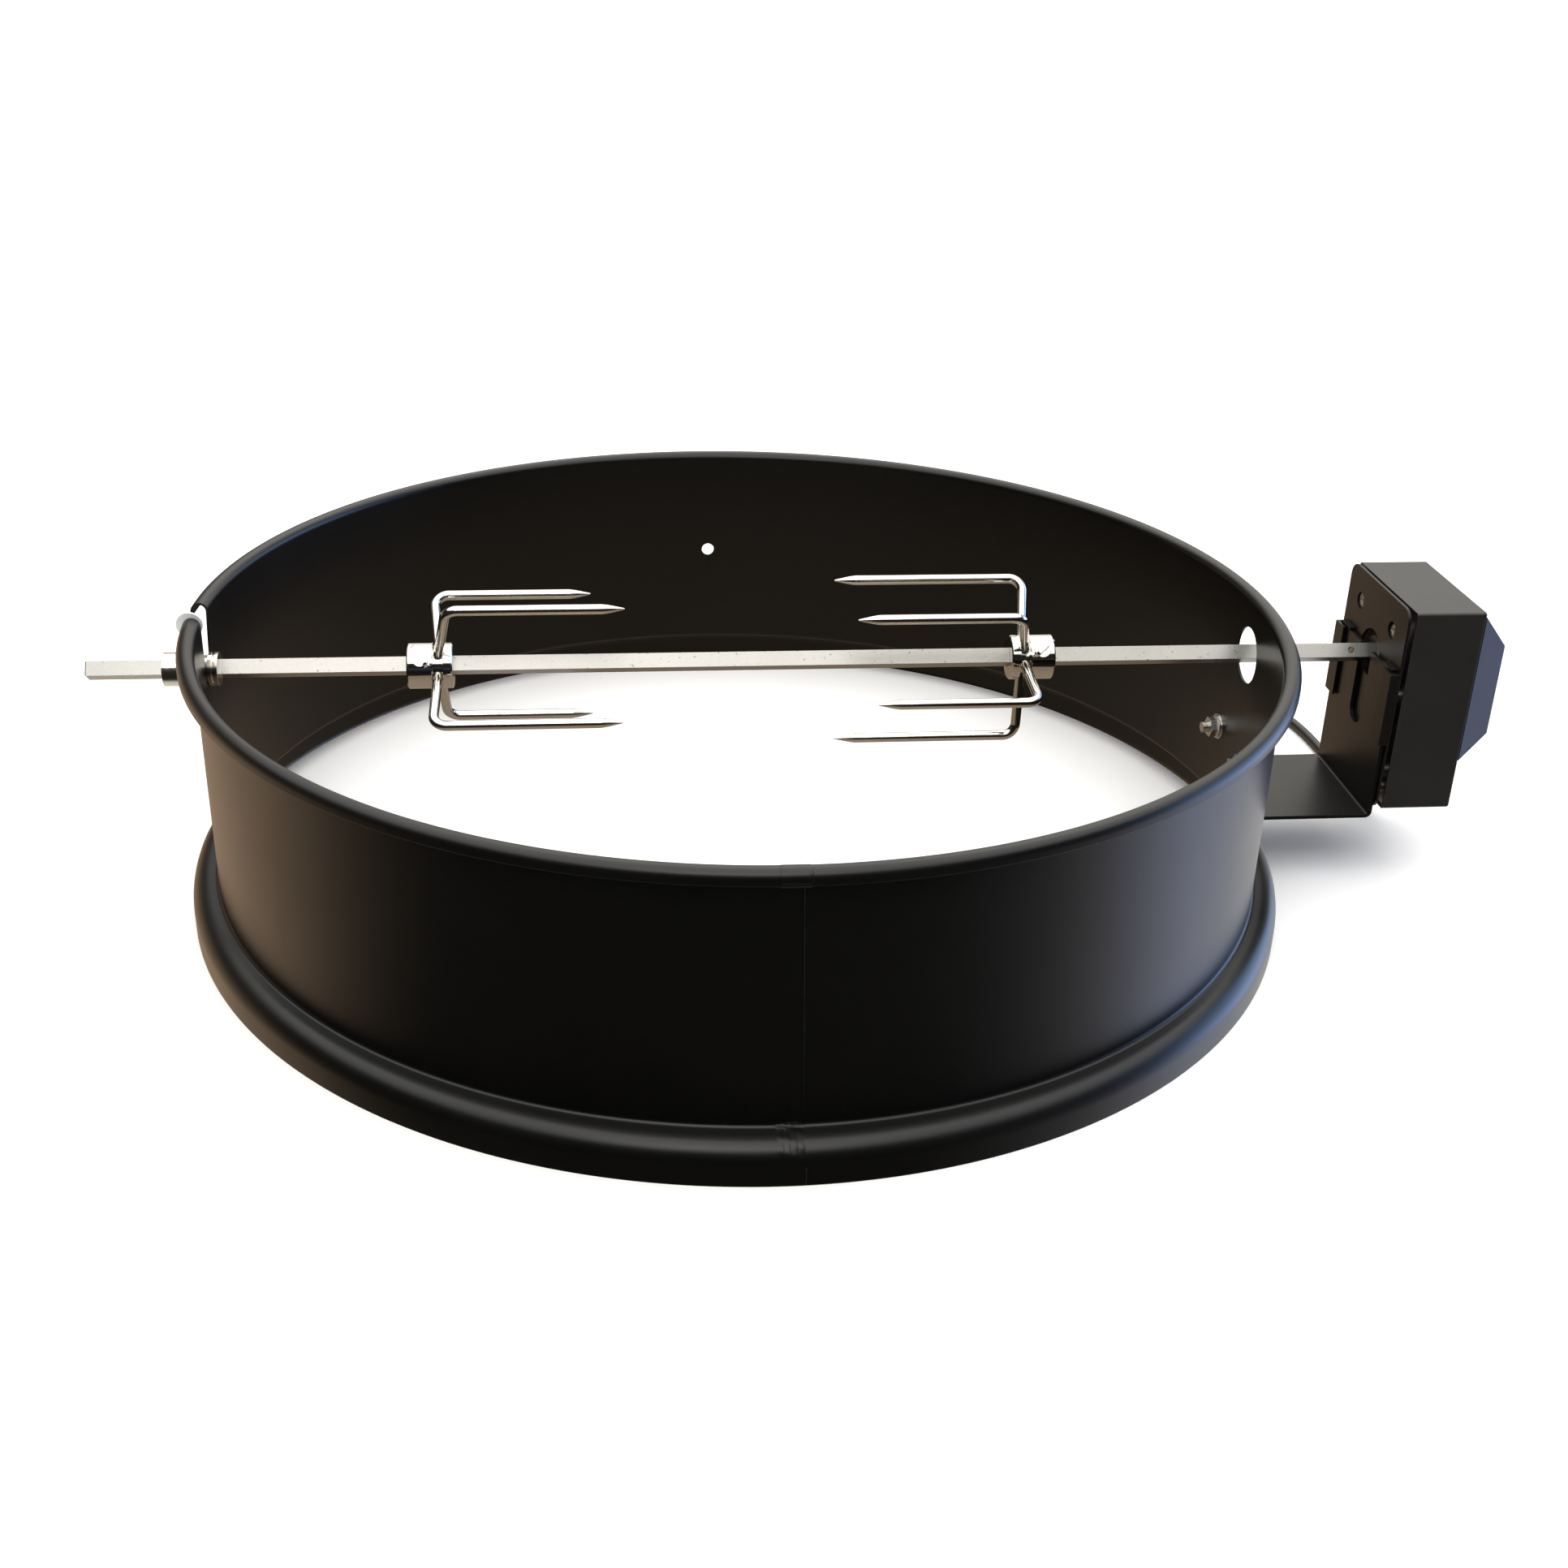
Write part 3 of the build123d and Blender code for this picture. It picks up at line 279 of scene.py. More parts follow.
def punched_tree():
    """Punches the ring: the spit's notch, the drive hole, a probe hole and two bolt holes."""
    tree, given, out = new_group(
        "punched ring", "GeometryNodeTree",
        [("Geometry", "NodeSocketGeometry", None), ("Wall radius", "NodeSocketFloat", 0.2766),
         ("Spit height", "NodeSocketFloat", 0.117), ("Notch half", "NodeSocketFloat", 0.0075),
         ("Drive radius", "NodeSocketFloat", 0.0155), ("Probe radius", "NodeSocketFloat", 0.004),
         ("Probe height", "NodeSocketFloat", 0.082), ("Bolt radius", "NodeSocketFloat", 0.00325),
         ("Bolt height", "NodeSocketFloat", 0.062), ("Bolt angle", "NodeSocketFloat", 0.09),
         ("Material", "NodeSocketMaterial", None)],
        [("Geometry", "NodeSocketGeometry")])
    tree.is_modifier = True
    cut = put(tree, "GeometryNodeMeshBoolean", {"Mesh 1": given["Geometry"]}, operation="DIFFERENCE",
              solver="EXACT")

    def drill(radius, height, turn):
        """Cuts a round hole through the wall, this far round from the motor's side."""
        bar = put(tree, "GeometryNodeMeshCylinder", {"Vertices": 64, "Radius": radius, "Depth": punch_length})
        start = put(tree, "ShaderNodeCombineXYZ", {"X": given["Wall radius"], "Z": height})
        laid = put(tree, "GeometryNodeTransform", {"Geometry": bar.outputs["Mesh"],
                                                   "Translation": start.outputs["Vector"],
                                                   "Rotation": (0.0, math.pi / 2, 0.0)})
        angle = put(tree, "ShaderNodeCombineXYZ", {"Z": turn})
        turned = put(tree, "GeometryNodeTransform", {"Geometry": laid.outputs["Geometry"],
                                                     "Rotation": angle.outputs["Vector"]})
        tree.links.new(turned.outputs["Geometry"], cut.inputs["Mesh 2"])

    lowered = put(tree, "ShaderNodeMath", {0: given["Spit height"], 1: 0.001}, operation="SUBTRACT")
    other_side = put(tree, "ShaderNodeMath", {0: given["Bolt angle"], 1: -1.0}, operation="MULTIPLY")
    drill(given["Drive radius"], lowered.outputs[0], 0.0)
    drill(given["Probe radius"], given["Probe height"], math.pi / 2)
    drill(given["Bolt radius"], given["Bolt height"], given["Bolt angle"])
    drill(given["Bolt radius"], given["Bolt height"], other_side.outputs[0])
    drill(given["Notch half"], given["Spit height"], math.pi)
    width = put(tree, "ShaderNodeMath", {0: given["Notch half"], 1: 2.0}, operation="MULTIPLY")
    size = put(tree, "ShaderNodeCombineXYZ", {"X": punch_length, "Y": width.outputs[0], "Z": notch_depth})
    slot = put(tree, "GeometryNodeMeshCube", {"Size": size.outputs["Vector"]})
    left = put(tree, "ShaderNodeMath", {0: given["Wall radius"], 1: -1.0}, operation="MULTIPLY")
    middle = put(tree, "ShaderNodeMath", {0: given["Spit height"], 1: notch_depth / 2}, operation="ADD")
    over_spit = put(tree, "ShaderNodeCombineXYZ", {"X": left.outputs[0], "Z": middle.outputs[0]})
    laid = put(tree, "GeometryNodeTransform", {"Geometry": slot.outputs["Mesh"],
                                               "Translation": over_spit.outputs["Vector"]})
    tree.links.new(laid.outputs["Geometry"], cut.inputs["Mesh 2"])
    # the far side of the notch leans back towards the top
    risen = put(tree, "ShaderNodeMath", {0: given["Spit height"], 1: notch_depth / 2 * math.cos(notch_lean)},
                operation="ADD")
    leaning = put(tree, "ShaderNodeCombineXYZ", {"X": left.outputs[0], "Z": risen.outputs[0],
                                                 "Y": notch_depth / 2 * math.sin(notch_lean)})
    flare = put(tree, "GeometryNodeTransform", {"Geometry": slot.outputs["Mesh"],
                                                "Rotation": (-notch_lean, 0.0, 0.0),
                                                "Translation": leaning.outputs["Vector"]})
    tree.links.new(flare.outputs["Geometry"], cut.inputs["Mesh 2"])
    return close_tree(tree, cut.outputs["Mesh"], given, out)


turned_section = turned_tree()
bead_outer = wall_radius + 2 * bead_radius
shoulder = skirt_height + shoulder_rise
lip = ring_top - bead_radius - 0.0022
bend = bead_radius - 0.00005
shoulder_outside = 0.0103
shoulder_inside = 0.0091
foot_outside = 0.002
foot_inside = 0.0032
arc_steps = 10
inner_line = rounded_path(
    [(skirt_radius - sheet, 0), (skirt_radius - sheet, skirt_height - sheet), (wall_radius, shoulder - sheet),
     (wall_radius, ring_top), (bead_outer, ring_top), (bead_outer, lip)],
    [shoulder_inside, foot_inside, bend, bend], arc_steps)
outer_line = rounded_path(
    [(skirt_radius, 0), (skirt_radius, skirt_height), (wall_radius + sheet, shoulder),
     (wall_radius + sheet, ring_top - sheet), (bead_outer - sheet, ring_top - sheet),
     (bead_outer - sheet, lip)],
    [shoulder_outside, foot_outside, bend - sheet, bend - sheet], arc_steps)
ring = wire_object("ring", [(p.x - wall_radius, -p.y, 0) for p in inner_line + outer_line[::-1]], closed=True)
ring_steps = 540
build(ring, turned_section, Radius=wall_radius, Steps=ring_steps, Material=ring_coat)
build(ring, punched_tree(), Wall_radius=wall_radius, Spit_height=spit_height, Notch_half=notch_half,
      Drive_radius=drive_hole, Probe_radius=probe_hole, Probe_height=probe_height, Bolt_radius=bolt_hole,
      Bolt_height=bolt_height, Bolt_angle=bolt_angle, Material=ring_coat)
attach(ring, "ring")
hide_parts("ring_shell")


def wire_tree():
    """A round wire along a path; the points' own "thick" share tapers it."""
    tree, given, out = new_group(
        "round wire", "GeometryNodeTree",
        [("Geometry", "NodeSocketGeometry", None), ("Radius", "NodeSocketFloat", 0.001),
         ("Sides", "NodeSocketInt", 24), ("Material", "NodeSocketMaterial", None)],
        [("Geometry", "NodeSocketGeometry")])
    tree.is_modifier = True
    path = put(tree, "GeometryNodeMeshToCurve", {"Mesh": given["Geometry"]})
    circle = put(tree, "GeometryNodeCurvePrimitiveCircle", {"Resolution": given["Sides"],
                                                            "Radius": given["Radius"]})
    thick = put(tree, "GeometryNodeInputNamedAttribute", {"Name": "thick"}, data_type="FLOAT")
    swept = put(tree, "GeometryNodeCurveToMesh", {"Curve": path.outputs["Curve"],
                                                  "Profile Curve": circle.outputs["Curve"],
                                                  "Scale": thick.outputs["Attribute"], "Fill Caps": True})
    return close_tree(tree, swept.outputs["Mesh"], given, out)


round_wire = wire_tree()


def join(name, pieces):
    """Makes one piece of several whose materials are alike."""
    corners = []
    faces = []
    for piece in pieces:
        start = len(corners)
        corners += [vertex.co.copy() for vertex in piece.data.vertices]
        faces += [[start + k for k in face.vertices] for face in piece.data.polygons]
        material = piece.data.materials[0]
        bpy.data.objects.remove(piece)
    mesh = painted_mesh(name, corners, faces, material)
    mesh.shade_smooth()
    mesh.set_sharp_from_angle(angle=math.radians(35))
    return stand(name, mesh)


def wire(name, places, radius, material, thick=None, sides=24):
    """A wire through the places, thinned or thickened point by point."""
    piece = wire_object(name, places)
    shares = piece.data.attributes.new("thick", "FLOAT", "POINT")
    for k, item in enumerate(shares.data):
        item.value = thick[k] if thick else 1.0
    return build(piece, round_wire, smooth_angle=40, Radius=radius, Sides=sides, Material=material)


def on_ring(radius, across, height):
    """A place this far along the front of the ring from its middle, in metres."""
    angle = across / radius
    return (radius * math.sin(angle), -radius * math.cos(angle), height)


# the butt seam: a low rippled ridge up the wall and the skirt, and a sleeve over the bead's joint
ridge_radius = 0.0004
seam_steps = 40
seam_low = shoulder + 0.0012
seam_rise = 0.1175
seam_line = [on_ring(wall_radius + sheet - lap, 0.0054 - 0.0032 * k / seam_steps,
                     seam_low + seam_rise * k / seam_steps) for k in range(seam_steps + 1)]
ripple = [0.85 + 0.3 * ((k * 7) % 5) / 5 for k in range(seam_steps + 1)]
skirt_line = [on_ring(skirt_radius - lap, 0.0055, 0.0008 + 0.0012 * k) for k in range(8)]
patch_line = [on_ring(wall_radius + bead_radius, -0.008 + 0.013 * k / 12, ring_top - bead_radius)
              for k in range(13)]
patch_size = [0.96] + [1.0] * 11 + [0.96]


def crumpled_weld(columns=27, left=-0.0075, right=0.0062, height=0.0007):
    """The lumpy patch of weld where the strip's ends meet on the shoulder, as a thin closed shell."""
    profile = outer_line[1:23]
    rows = len(profile)
    corners = []
    for lift in (1.0, 0.0):
        for i, point in enumerate(profile):
            run = (profile[min(i + 1, rows - 1)] - profile[max(i - 1, 0)]).normalized()
            for k in range(columns):
                fade = math.sin(math.pi * i / (rows - 1)) * math.sin(math.pi * k / (columns - 1))
                edge = math.sqrt(fade + 1e-9)
                lump = 0.5 + 0.5 * math.sin(0.9 * i + 0.7 * k) * math.cos(0.45 * k - 0.6 * i)
                proud = (height * edge * lump - lap) if lift else -sheet / 2
                place = point + Vector((run.y, -run.x)) * proud
                corners.append(on_ring(place.x, left + (right - left) * k / (columns - 1), place.y))
    faces = []
    under = rows * columns
    for i in range(rows - 1):
        for k in range(columns - 1):
            a = i * columns + k
            faces.append((a, a + 1, a + columns + 1, a + columns))
            faces.append((under + a, under + a + columns, under + a + columns + 1, under + a + 1))
    for k in range(columns - 1):
        top = (rows - 1) * columns + k
        faces.append((k, under + k, under + k + 1, k + 1))
        faces.append((top, top + 1, under + top + 1, under + top))
    for i in range(rows - 1):
        a = i * columns
        b = a + columns - 1
        faces.append((a, a + columns, under + a + columns, under + a))
        faces.append((b, under + b, under + b + columns, b + columns))
    return stand("weld_patch", painted_mesh("weld_patch", corners, faces, ring_coat))


seam = join("ring_seam", [
    wire("seam_ridge", seam_line, ridge_radius, ring_coat, ripple, 12),
    wire("bead_patch", patch_line, bead_radius + 0.0002, ring_coat, patch_size, 40),
    wire("skirt_ridge", skirt_line, ridge_radius, ring_coat, None, 12),
    crumpled_weld()])
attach(seam, "ring")

# ---- Rim cap ----
# A pale cap is moulded in soft silicone, and pushed on to the bead where the notch has cut it
# open. It covers the sheet's raw edge on that side.
cap_silicone = finish("cap silicone", (0.62, 0.64, 0.63), (0.7, 0.7, 0.7), 0.5, wear=0.2)
coat("rim_end_cap", cap_silicone)

# ---- Bracket ----
# The bracket is 2 mm sheet, folded to a shelf and a slotted upright, and powder-coated. Two zinc
# plated M6 bolts hold its curved flange to the wall, with a washer and a flanged nut inside.
bracket_coat = finish("bracket coat", (0.005, 0.0044, 0.0038), (0.02, 0.018, 0.016), 0.36, edge=0.0004,
                      wear=1.0, Specular_IOR_Level=0.26)
zinc = finish("zinc plate", (0.62, 0.6, 0.56), (0.75, 0.74, 0.7), 0.28, metal=1.0, broad=60.0)
coat("motor_bracket", bracket_coat)
for part in ("bracket_bolts", "bracket_washers", "bracket_nuts"):
    coat(part, zinc)


def thread_tree():
    """A screw thread: a three-sided ridge wound along Z from zero, then turned into its place."""
    tree, given, out = new_group(
        "screw thread", "GeometryNodeTree",
        [("Geometry", "NodeSocketGeometry", None), ("Radius", "NodeSocketFloat", 0.003),
         ("Pitch", "NodeSocketFloat", 0.001), ("Length", "NodeSocketFloat", 0.004),
         ("Ridge", "NodeSocketFloat", 0.0005), ("Place", "NodeSocketVector", None),
         ("Lean", "NodeSocketVector", None), ("Material", "NodeSocketMaterial", None)],
        [("Geometry", "NodeSocketGeometry")])
    tree.is_modifier = True
    turns = put(tree, "ShaderNodeMath", {0: given["Length"], 1: given["Pitch"]}, operation="DIVIDE")
    helix = put(tree, "GeometryNodeCurveSpiral", {
        "Resolution": 32, "Rotations": turns.outputs[0], "Start Radius": given["Radius"],
        "End Radius": given["Radius"], "Height": given["Length"]})
    level = put(tree, "GeometryNodeSetCurveNormal", {"Curve": helix.outputs["Curve"]}, mode="Z_UP")
    ridge = put(tree, "GeometryNodeCurvePrimitiveCircle", {"Resolution": 3, "Radius": given["Ridge"]})
    wound = put(tree, "GeometryNodeCurveToMesh", {"Curve": level.outputs[0],
                                                  "Profile Curve": ridge.outputs["Curve"],
                                                  "Fill Caps": True})
    placed = put(tree, "GeometryNodeTransform", {"Geometry": wound.outputs["Mesh"],
                                                 "Translation": given["Place"], "Rotation": given["Lean"]})
    return close_tree(tree, placed.outputs["Geometry"], given, out, smooth=False)


screw_thread = thread_tree()
thread_radius = 0.00295
thread_pitch = 0.0008
thread_length = 0.0036
thread_ridge = 0.00035
bolt_end = wall_radius - 0.0103
threads = []
for side in (-1, 1):
    piece = wire_object(f"thread_{side}", [(0, 0, 0), (0, 0, 0.001)])
    turn = side * bolt_angle
    place = (bolt_end * math.cos(turn), bolt_end * math.sin(turn), bolt_height)
    threads.append(build(piece, screw_thread, Radius=thread_radius, Pitch=thread_pitch, Length=thread_length,
                         Ridge=thread_ridge, Place=place, Lean=(0.0, math.pi / 2, turn), Material=zinc))
bolt_threads = join("bolt_threads", threads)
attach(bolt_threads, "ring")

# ---- Motor plate ----
# The plate is pressed from coated sheet steel, with two side lips that hook over the bracket's
# upright. Plain steel spacers hold it off the gearbox cover, and its holes clear the lid's screws.
steel = finish("plain steel", (0.42, 0.41, 0.4), (0.6, 0.6, 0.6), 0.35, metal=1.0, broad=40.0)
coat("motor_mount_plate", bracket_coat)
coat("mount_spacers", steel)

# ---- Housing ----
# The motor sits in a drawn steel box with a satin coat, closed at the far end by a sloping cap of
# heat-proof plastic. Pan-head screws hold the inner lid's tabs and the gearbox.
housing_coat = finish("housing coat", (0.014, 0.013, 0.0122), (0.07, 0.065, 0.06), 0.4, wear=1.5,
                      Specular_IOR_Level=0.4)
# the blue in the cap's colour is a painted reflection of the cool light from the right, laid over its own
# dark plastic
cover_plastic_blue_reflection = finish("cover plastic", (0.028, 0.038, 0.075), (0.08, 0.08, 0.08), 0.3, wear=0.5, fine=500.0)
coat("motor_housing", housing_coat)
coat("outer_cover", cover_plastic_blue_reflection)
coat("gearbox_cover", steel)
screw_zinc = finish("screw zinc", (0.6, 0.58, 0.54), (0.8, 0.8, 0.78), 0.3, metal=1.0, broad=120.0)
for part in ("cover_screws", "case_screws"):
    coat(part, screw_zinc)


def cross_tree():
    """Cuts a cross recess into a screw head that points along the X axis."""
    tree, given, out = new_group(
        "cross recess", "GeometryNodeTree",
        [("Geometry", "NodeSocketGeometry", None), ("Place", "NodeSocketVector", None),
         ("Width", "NodeSocketFloat", 0.001), ("Span", "NodeSocketFloat", 0.0038),
         ("Material", "NodeSocketMaterial", None)],
        [("Geometry", "NodeSocketGeometry")])
    tree.is_modifier = True
    cut = put(tree, "GeometryNodeMeshBoolean", {"Mesh 1": given["Geometry"]}, operation="DIFFERENCE",
              solver="EXACT")
    for wide, tall in (("Span", "Width"), ("Width", "Span")):
        size = put(tree, "ShaderNodeCombineXYZ", {"X": 0.0016, "Y": given[wide], "Z": given[tall]})
        bar = put(tree, "GeometryNodeMeshCube", {"Size": size.outputs["Vector"]})
        laid = put(tree, "GeometryNodeTransform", {"Geometry": bar.outputs["Mesh"],
                                                   "Translation": given["Place"]})
        tree.links.new(laid.outputs["Geometry"], cut.inputs["Mesh 2"])
    return close_tree(tree, cut.outputs["Mesh"], given, out, smooth=False)


cross_recess = cross_tree()
head_radius = 0.0036
head_step = 0.0003
dome_shares = [1.0] * 11 + [0.99, 0.95, 0.87, 0.74, 0.54, 0.2]
lid_heads = []
for side in (-1, 1):
    seat = Vector((0.3499, side * 0.022, 0.1384))
    dome = [seat + Vector((-head_step * k, 0.0, 0.0)) for k in range(len(dome_shares))]
    head = wire(f"lid_head_{side}", dome, head_radius, screw_zinc, dome_shares, 32)
    lid_heads.append(build(head, cross_recess, Place=dome[-1], Material=screw_zinc))
lid_screw_heads = join("lid_screw_heads", lid_heads)
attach(lid_screw_heads, "ring")

# ---- Gear train ----
# Three nylon gear stages run on steel pins between the lid and a rear plate; a bronze bush carries
# the output gear, whose square socket takes the spit.
nylon = finish("gear nylon", (0.72, 0.69, 0.6), (0.8, 0.78, 0.7), 0.45, wear=0.3)
bronze = finish("bush bronze", (0.5, 0.33, 0.15), (0.7, 0.5, 0.3), 0.4, metal=1.0)
# the output gear is coloured near black as painted shade, for the dark it sits in behind the drive hole
gear_dark_painted_shade = finish("output gear painted shade", (0.012, 0.012, 0.012), (0.03, 0.03, 0.03), 0.4, wear=0.5)
coat("output_gear", gear_dark_painted_shade)
for part in ("second_gear", "first_gear"):
    coat(part, nylon)
coat("output_bush", bronze)
for part in ("gearbox_posts", "gearbox_rear_plate", "gear_pins"):
    coat(part, steel)

# ---- Synchronous motor ----
# A can of pressed steel holds one copper winding round a ferrite rotor, whose shaft carries a
# steel pinion. Two screws hold the can to the gearbox's rear plate.
copper = finish("copper winding", (0.6, 0.25, 0.1), (0.7, 0.3, 0.15), 0.3, metal=1.0)
ferrite = finish("ferrite", (0.06, 0.06, 0.06), (0.1, 0.1, 0.1), 0.6)
coat("motor_can", steel)
coat("stator_coil", copper)
coat("rotor_magnet", ferrite)
coat("rotor_pinion", steel)
coat("can_screws", zinc)

# ---- Switch ----
# The rocker switch is moulded in black plastic and snaps into the far side of the box. A nylon
# terminal block inside the box joins the mains cord to the motor.
switch_plastic = finish("switch plastic", (0.015, 0.015, 0.016), (0.04, 0.04, 0.04), 0.32, wear=0.4,
                        fine=1500.0)
coat("switch_body", switch_plastic)
coat("switch_rocker", switch_plastic)
coat("terminal_block", nylon)

# ---- Spit ----
# The spit is an 8 mm square steel bar, dull plated and a little pitted, with a small cross hole
# near the motor's end. A turned, nickel-plated bushing rides in the notch, held by a grub screw.
spit_plate = finish("spit plate", (0.3, 0.293, 0.275), (0.5, 0.49, 0.47), 0.32, metal=1.0, edge=0.0004)
nickel = finish("bright nickel", (0.66, 0.62, 0.55), (0.8, 0.78, 0.74), 0.2, metal=1.0, edge=0.0004)
coat("spit_rod", spit_plate)


def pit_group():
    """Scattered pits and short scuffs of a bar that has been used."""
    tree, given, out = new_group(
        "pits and scuffs", "ShaderNodeTree",
        [("Pit scale", "NodeSocketFloat", 420.0), ("Pit share", "NodeSocketFloat", 0.66)],
        [("Mask", "NodeSocketFloat")])
    place = put(tree, "ShaderNodeTexCoord")
    specks = put(tree, "ShaderNodeTexNoise", {"Vector": place.outputs["Object"], "Scale": given["Pit scale"],
                                              "Detail": 3.0})
    sharp = put(tree, "ShaderNodeMapRange", {"Value": specks.outputs["Fac"], "From Min": given["Pit share"],
                                             "From Max": 0.74})
    tree.links.new(sharp.outputs["Result"], out["Mask"])
    return tree


def pitted(material, dark, scale, share):
    """Darkens a finish in its pits."""
    tree = material.node_tree
    shader = tree.nodes["Principled BSDF"]
    pits = place_group(tree, pit_surface, Pit_scale=scale, Pit_share=share)
    was = shader.inputs["Base Color"].links[0].from_socket
    mixed = put(tree, "ShaderNodeMix", {0: pits.outputs["Mask"], 6: was, 7: (*dark, 1.0)}, data_type="RGBA")
    tree.links.new(mixed.outputs[2], shader.inputs["Base Color"])


pit_surface = pit_group()
pitted(spit_plate, (0.1, 0.09, 0.08), 500.0, 0.66)
coat("spit_bushing", nickel)
coat("bushing_grub_screw", zinc)

# ---- Forks ----
# Four bent wires with pointed ends are pressed into each turned hub, and the whole fork is
# chrome-plated. Each hub slides on the bar and is clamped to it by a thumb screw.
chrome = finish("bright chrome", (0.64, 0.62, 0.58), (0.7, 0.69, 0.67), 0.09, metal=1.0, peel=0.000004)
tine_reach = 0.045
tine_root = 0.0071
wire_radius = 0.0026
tine_point = 0.012
tine_bend = 0.007
point_shares = [1.0, 0.96, 0.88, 0.78, 0.66, 0.53, 0.4, 0.27, 0.13]
hub_grooves = {"left": -0.1587, "right": 0.1512}
# each tine's angle round the bar from straight up, and where along the bar it bends and ends
tine_plan = {
    "left": [(57, -0.162, -0.079), (-30, -0.152, -0.062), (-110, -0.160, -0.064), (150, -0.157, -0.079)],
    "right": [(42, 0.155, 0.052), (-41, 0.143, 0.057), (-99, 0.152, 0.0675), (-176, 0.150, 0.0505)]}
for side in ("left", "right"):
    wires = []
    for lean, bend_x, tip_x in tine_plan[side]:
        inward = math.copysign(1.0, tip_x - bend_x)
        line = rounded_path([(hub_grooves[side], tine_root), (bend_x, tine_reach), (tip_x, tine_reach)],
                            [tine_bend], 12)
        flat = line[:-1]
        flat += [Vector((tip_x - inward * tine_point * (1 - k / 8), tine_reach)) for k in range(9)]
        shares = [1.0] * (len(line) - 1) + point_shares
        angle = math.radians(lean)
        places = [(p.x, p.y * math.sin(angle), spit_height + p.y * math.cos(angle)) for p in flat]
        wires.append(wire(f"{side}_tine", places, wire_radius, chrome, shares, 32))
    tines = join(f"{side}_tines", wires)
    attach(tines, f"{side}_fork")
    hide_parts(f"{side}_fork_tines")
    coat(f"{side}_fork_hub", chrome)
    coat(f"{side}_thumb_screw", chrome)

# ---- Mains cord ----
# A round PVC lead of 6 mm leaves the floor of the box through a moulded strain relief, drops on to
# the table, runs back behind the ring and lies in a tied coil of just over five turns, which ends
# at its plug.
cord_pvc = finish("cord sheath", (0.005, 0.005, 0.005), (0.02, 0.02, 0.02), 0.42, wear=0.2, fine=2500.0)
cord_radius = 0.003
lying = 0.0032
cord_exit = Vector(((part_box("cord_relief")[0].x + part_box("cord_relief")[1].x) / 2,
                    (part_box("cord_relief")[0].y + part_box("cord_relief")[1].y) / 2,
                    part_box("cord_relief")[0].z))
coil_low, coil_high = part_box("cord_coil")
coil_centre = (coil_low + coil_high) / 2
cord_points = [
    (0.375, 0.024, 0.032), (0.375, 0.024, 0.0208), (0.375, 0.0304, 0.0097), (0.375, 0.0416, lying),
    (0.3744, 0.06, lying), (0.3756, 0.087, lying), (0.3764, 0.116, lying), (0.374, 0.15, lying),
    (0.364, 0.187, lying), (0.345, 0.222, lying), (0.319, 0.253, lying), (0.287, 0.278, lying),
    (0.25, 0.298, lying), (0.212, 0.313, lying), (0.174, 0.323, lying), (0.138, 0.3276, 0.0036)]

# the coil winds inwards on the table for its first turns, then outwards again on top of them
coil_turns = 5.25
points_per_turn = 16
inward_turns = 2.5
coil_outer = 0.0387
coil_inner = 0.02395
lower_layer = 0.0043
layer_gap = 0.006
for step in range(int(coil_turns * points_per_turn) + 1):
    turn = step / points_per_turn
    if turn < inward_turns:
        radius = coil_outer - 0.0059 * turn
    else:
        radius = coil_inner + 0.0061 * (turn - inward_turns)
    climb = min(max(turn - 2.0, 0.0) * 2.0, 1.0)
    height = lower_layer + layer_gap * math.sqrt(climb) - 0.0011 * max(turn - 4.75, 0.0) * 2
    angle = math.radians(-90) - 2 * math.pi * turn
    cord_points.append((coil_centre.x + radius * math.cos(angle),
                        coil_centre.y + radius * math.sin(angle), height))

# the last stretch comes down from the coil and runs into the plug's neck
plug_x = (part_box("plug_body")[0].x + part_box("plug_body")[1].x) / 2
neck_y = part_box("plug_body")[0].y
cord_points += [(plug_x - 0.0019, neck_y - 0.025, 0.009), (plug_x - 0.0011, neck_y - 0.014, 0.0083),
                (plug_x, neck_y - 0.006, 0.0067), (plug_x, neck_y, 0.0062), (plug_x, neck_y + 0.003, 0.0062)]
cord_curve = bpy.data.curves.new("power_cord_lead", "CURVE")
cord_curve.dimensions = "3D"
spline = cord_curve.splines.new("NURBS")
spline.points.add(len(cord_points) - 1)
for point, place in zip(spline.points, cord_points):
    point.co = (*place, 1.0)
spline.order_u = 3
spline.use_endpoint_u = True
cord_curve.bevel_depth = cord_radius
cord_curve.bevel_resolution = 5
cord_curve.resolution_u = 6
cord_lead = stand("power_cord_lead", cord_curve)
cord_curve.materials.append(cord_pvc)
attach(cord_lead, "ring")
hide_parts("power_cord", "cord_coil", "plug_tail")
coat("plug_body", cord_pvc)

# the strain relief: four ribs that grow towards the box, a collar, and a sleeve inside the box
relief_top = 0.0386
relief_low = 0.0305
relief_middle = 0.004
relief_line = [(0.0032, relief_low), (0.0038, relief_low)]
for rib in range(4):
    rib_z = relief_low + 0.0009 + 0.0019 * rib
    rib_r = 0.0041 + 0.0004 * rib
    relief_line += [(rib_r + 0.0006, rib_z), (rib_r + 0.0006, rib_z + 0.0009), (rib_r, rib_z + 0.0011),
                    (rib_r, rib_z + 0.0018)]
relief_line += [(0.0068, relief_top), (0.0068, 0.0405), (0.0051, 0.0405), (0.0051, 0.0417), (0.0066, 0.0417),
                (0.0066, 0.0433), (0.0040, 0.0441), (0.0037, 0.054), (0.0032, 0.054)]
relief = wire_object("ribbed_relief", [(r - relief_middle, -z, 0) for r, z in relief_line[::-1]], closed=True)
build(relief, turned_section, Radius=relief_middle, Steps=48, Place=(cord_exit.x, cord_exit.y, 0.0),
      Material=cord_pvc)
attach(relief, "ring")
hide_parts("cord_relief")

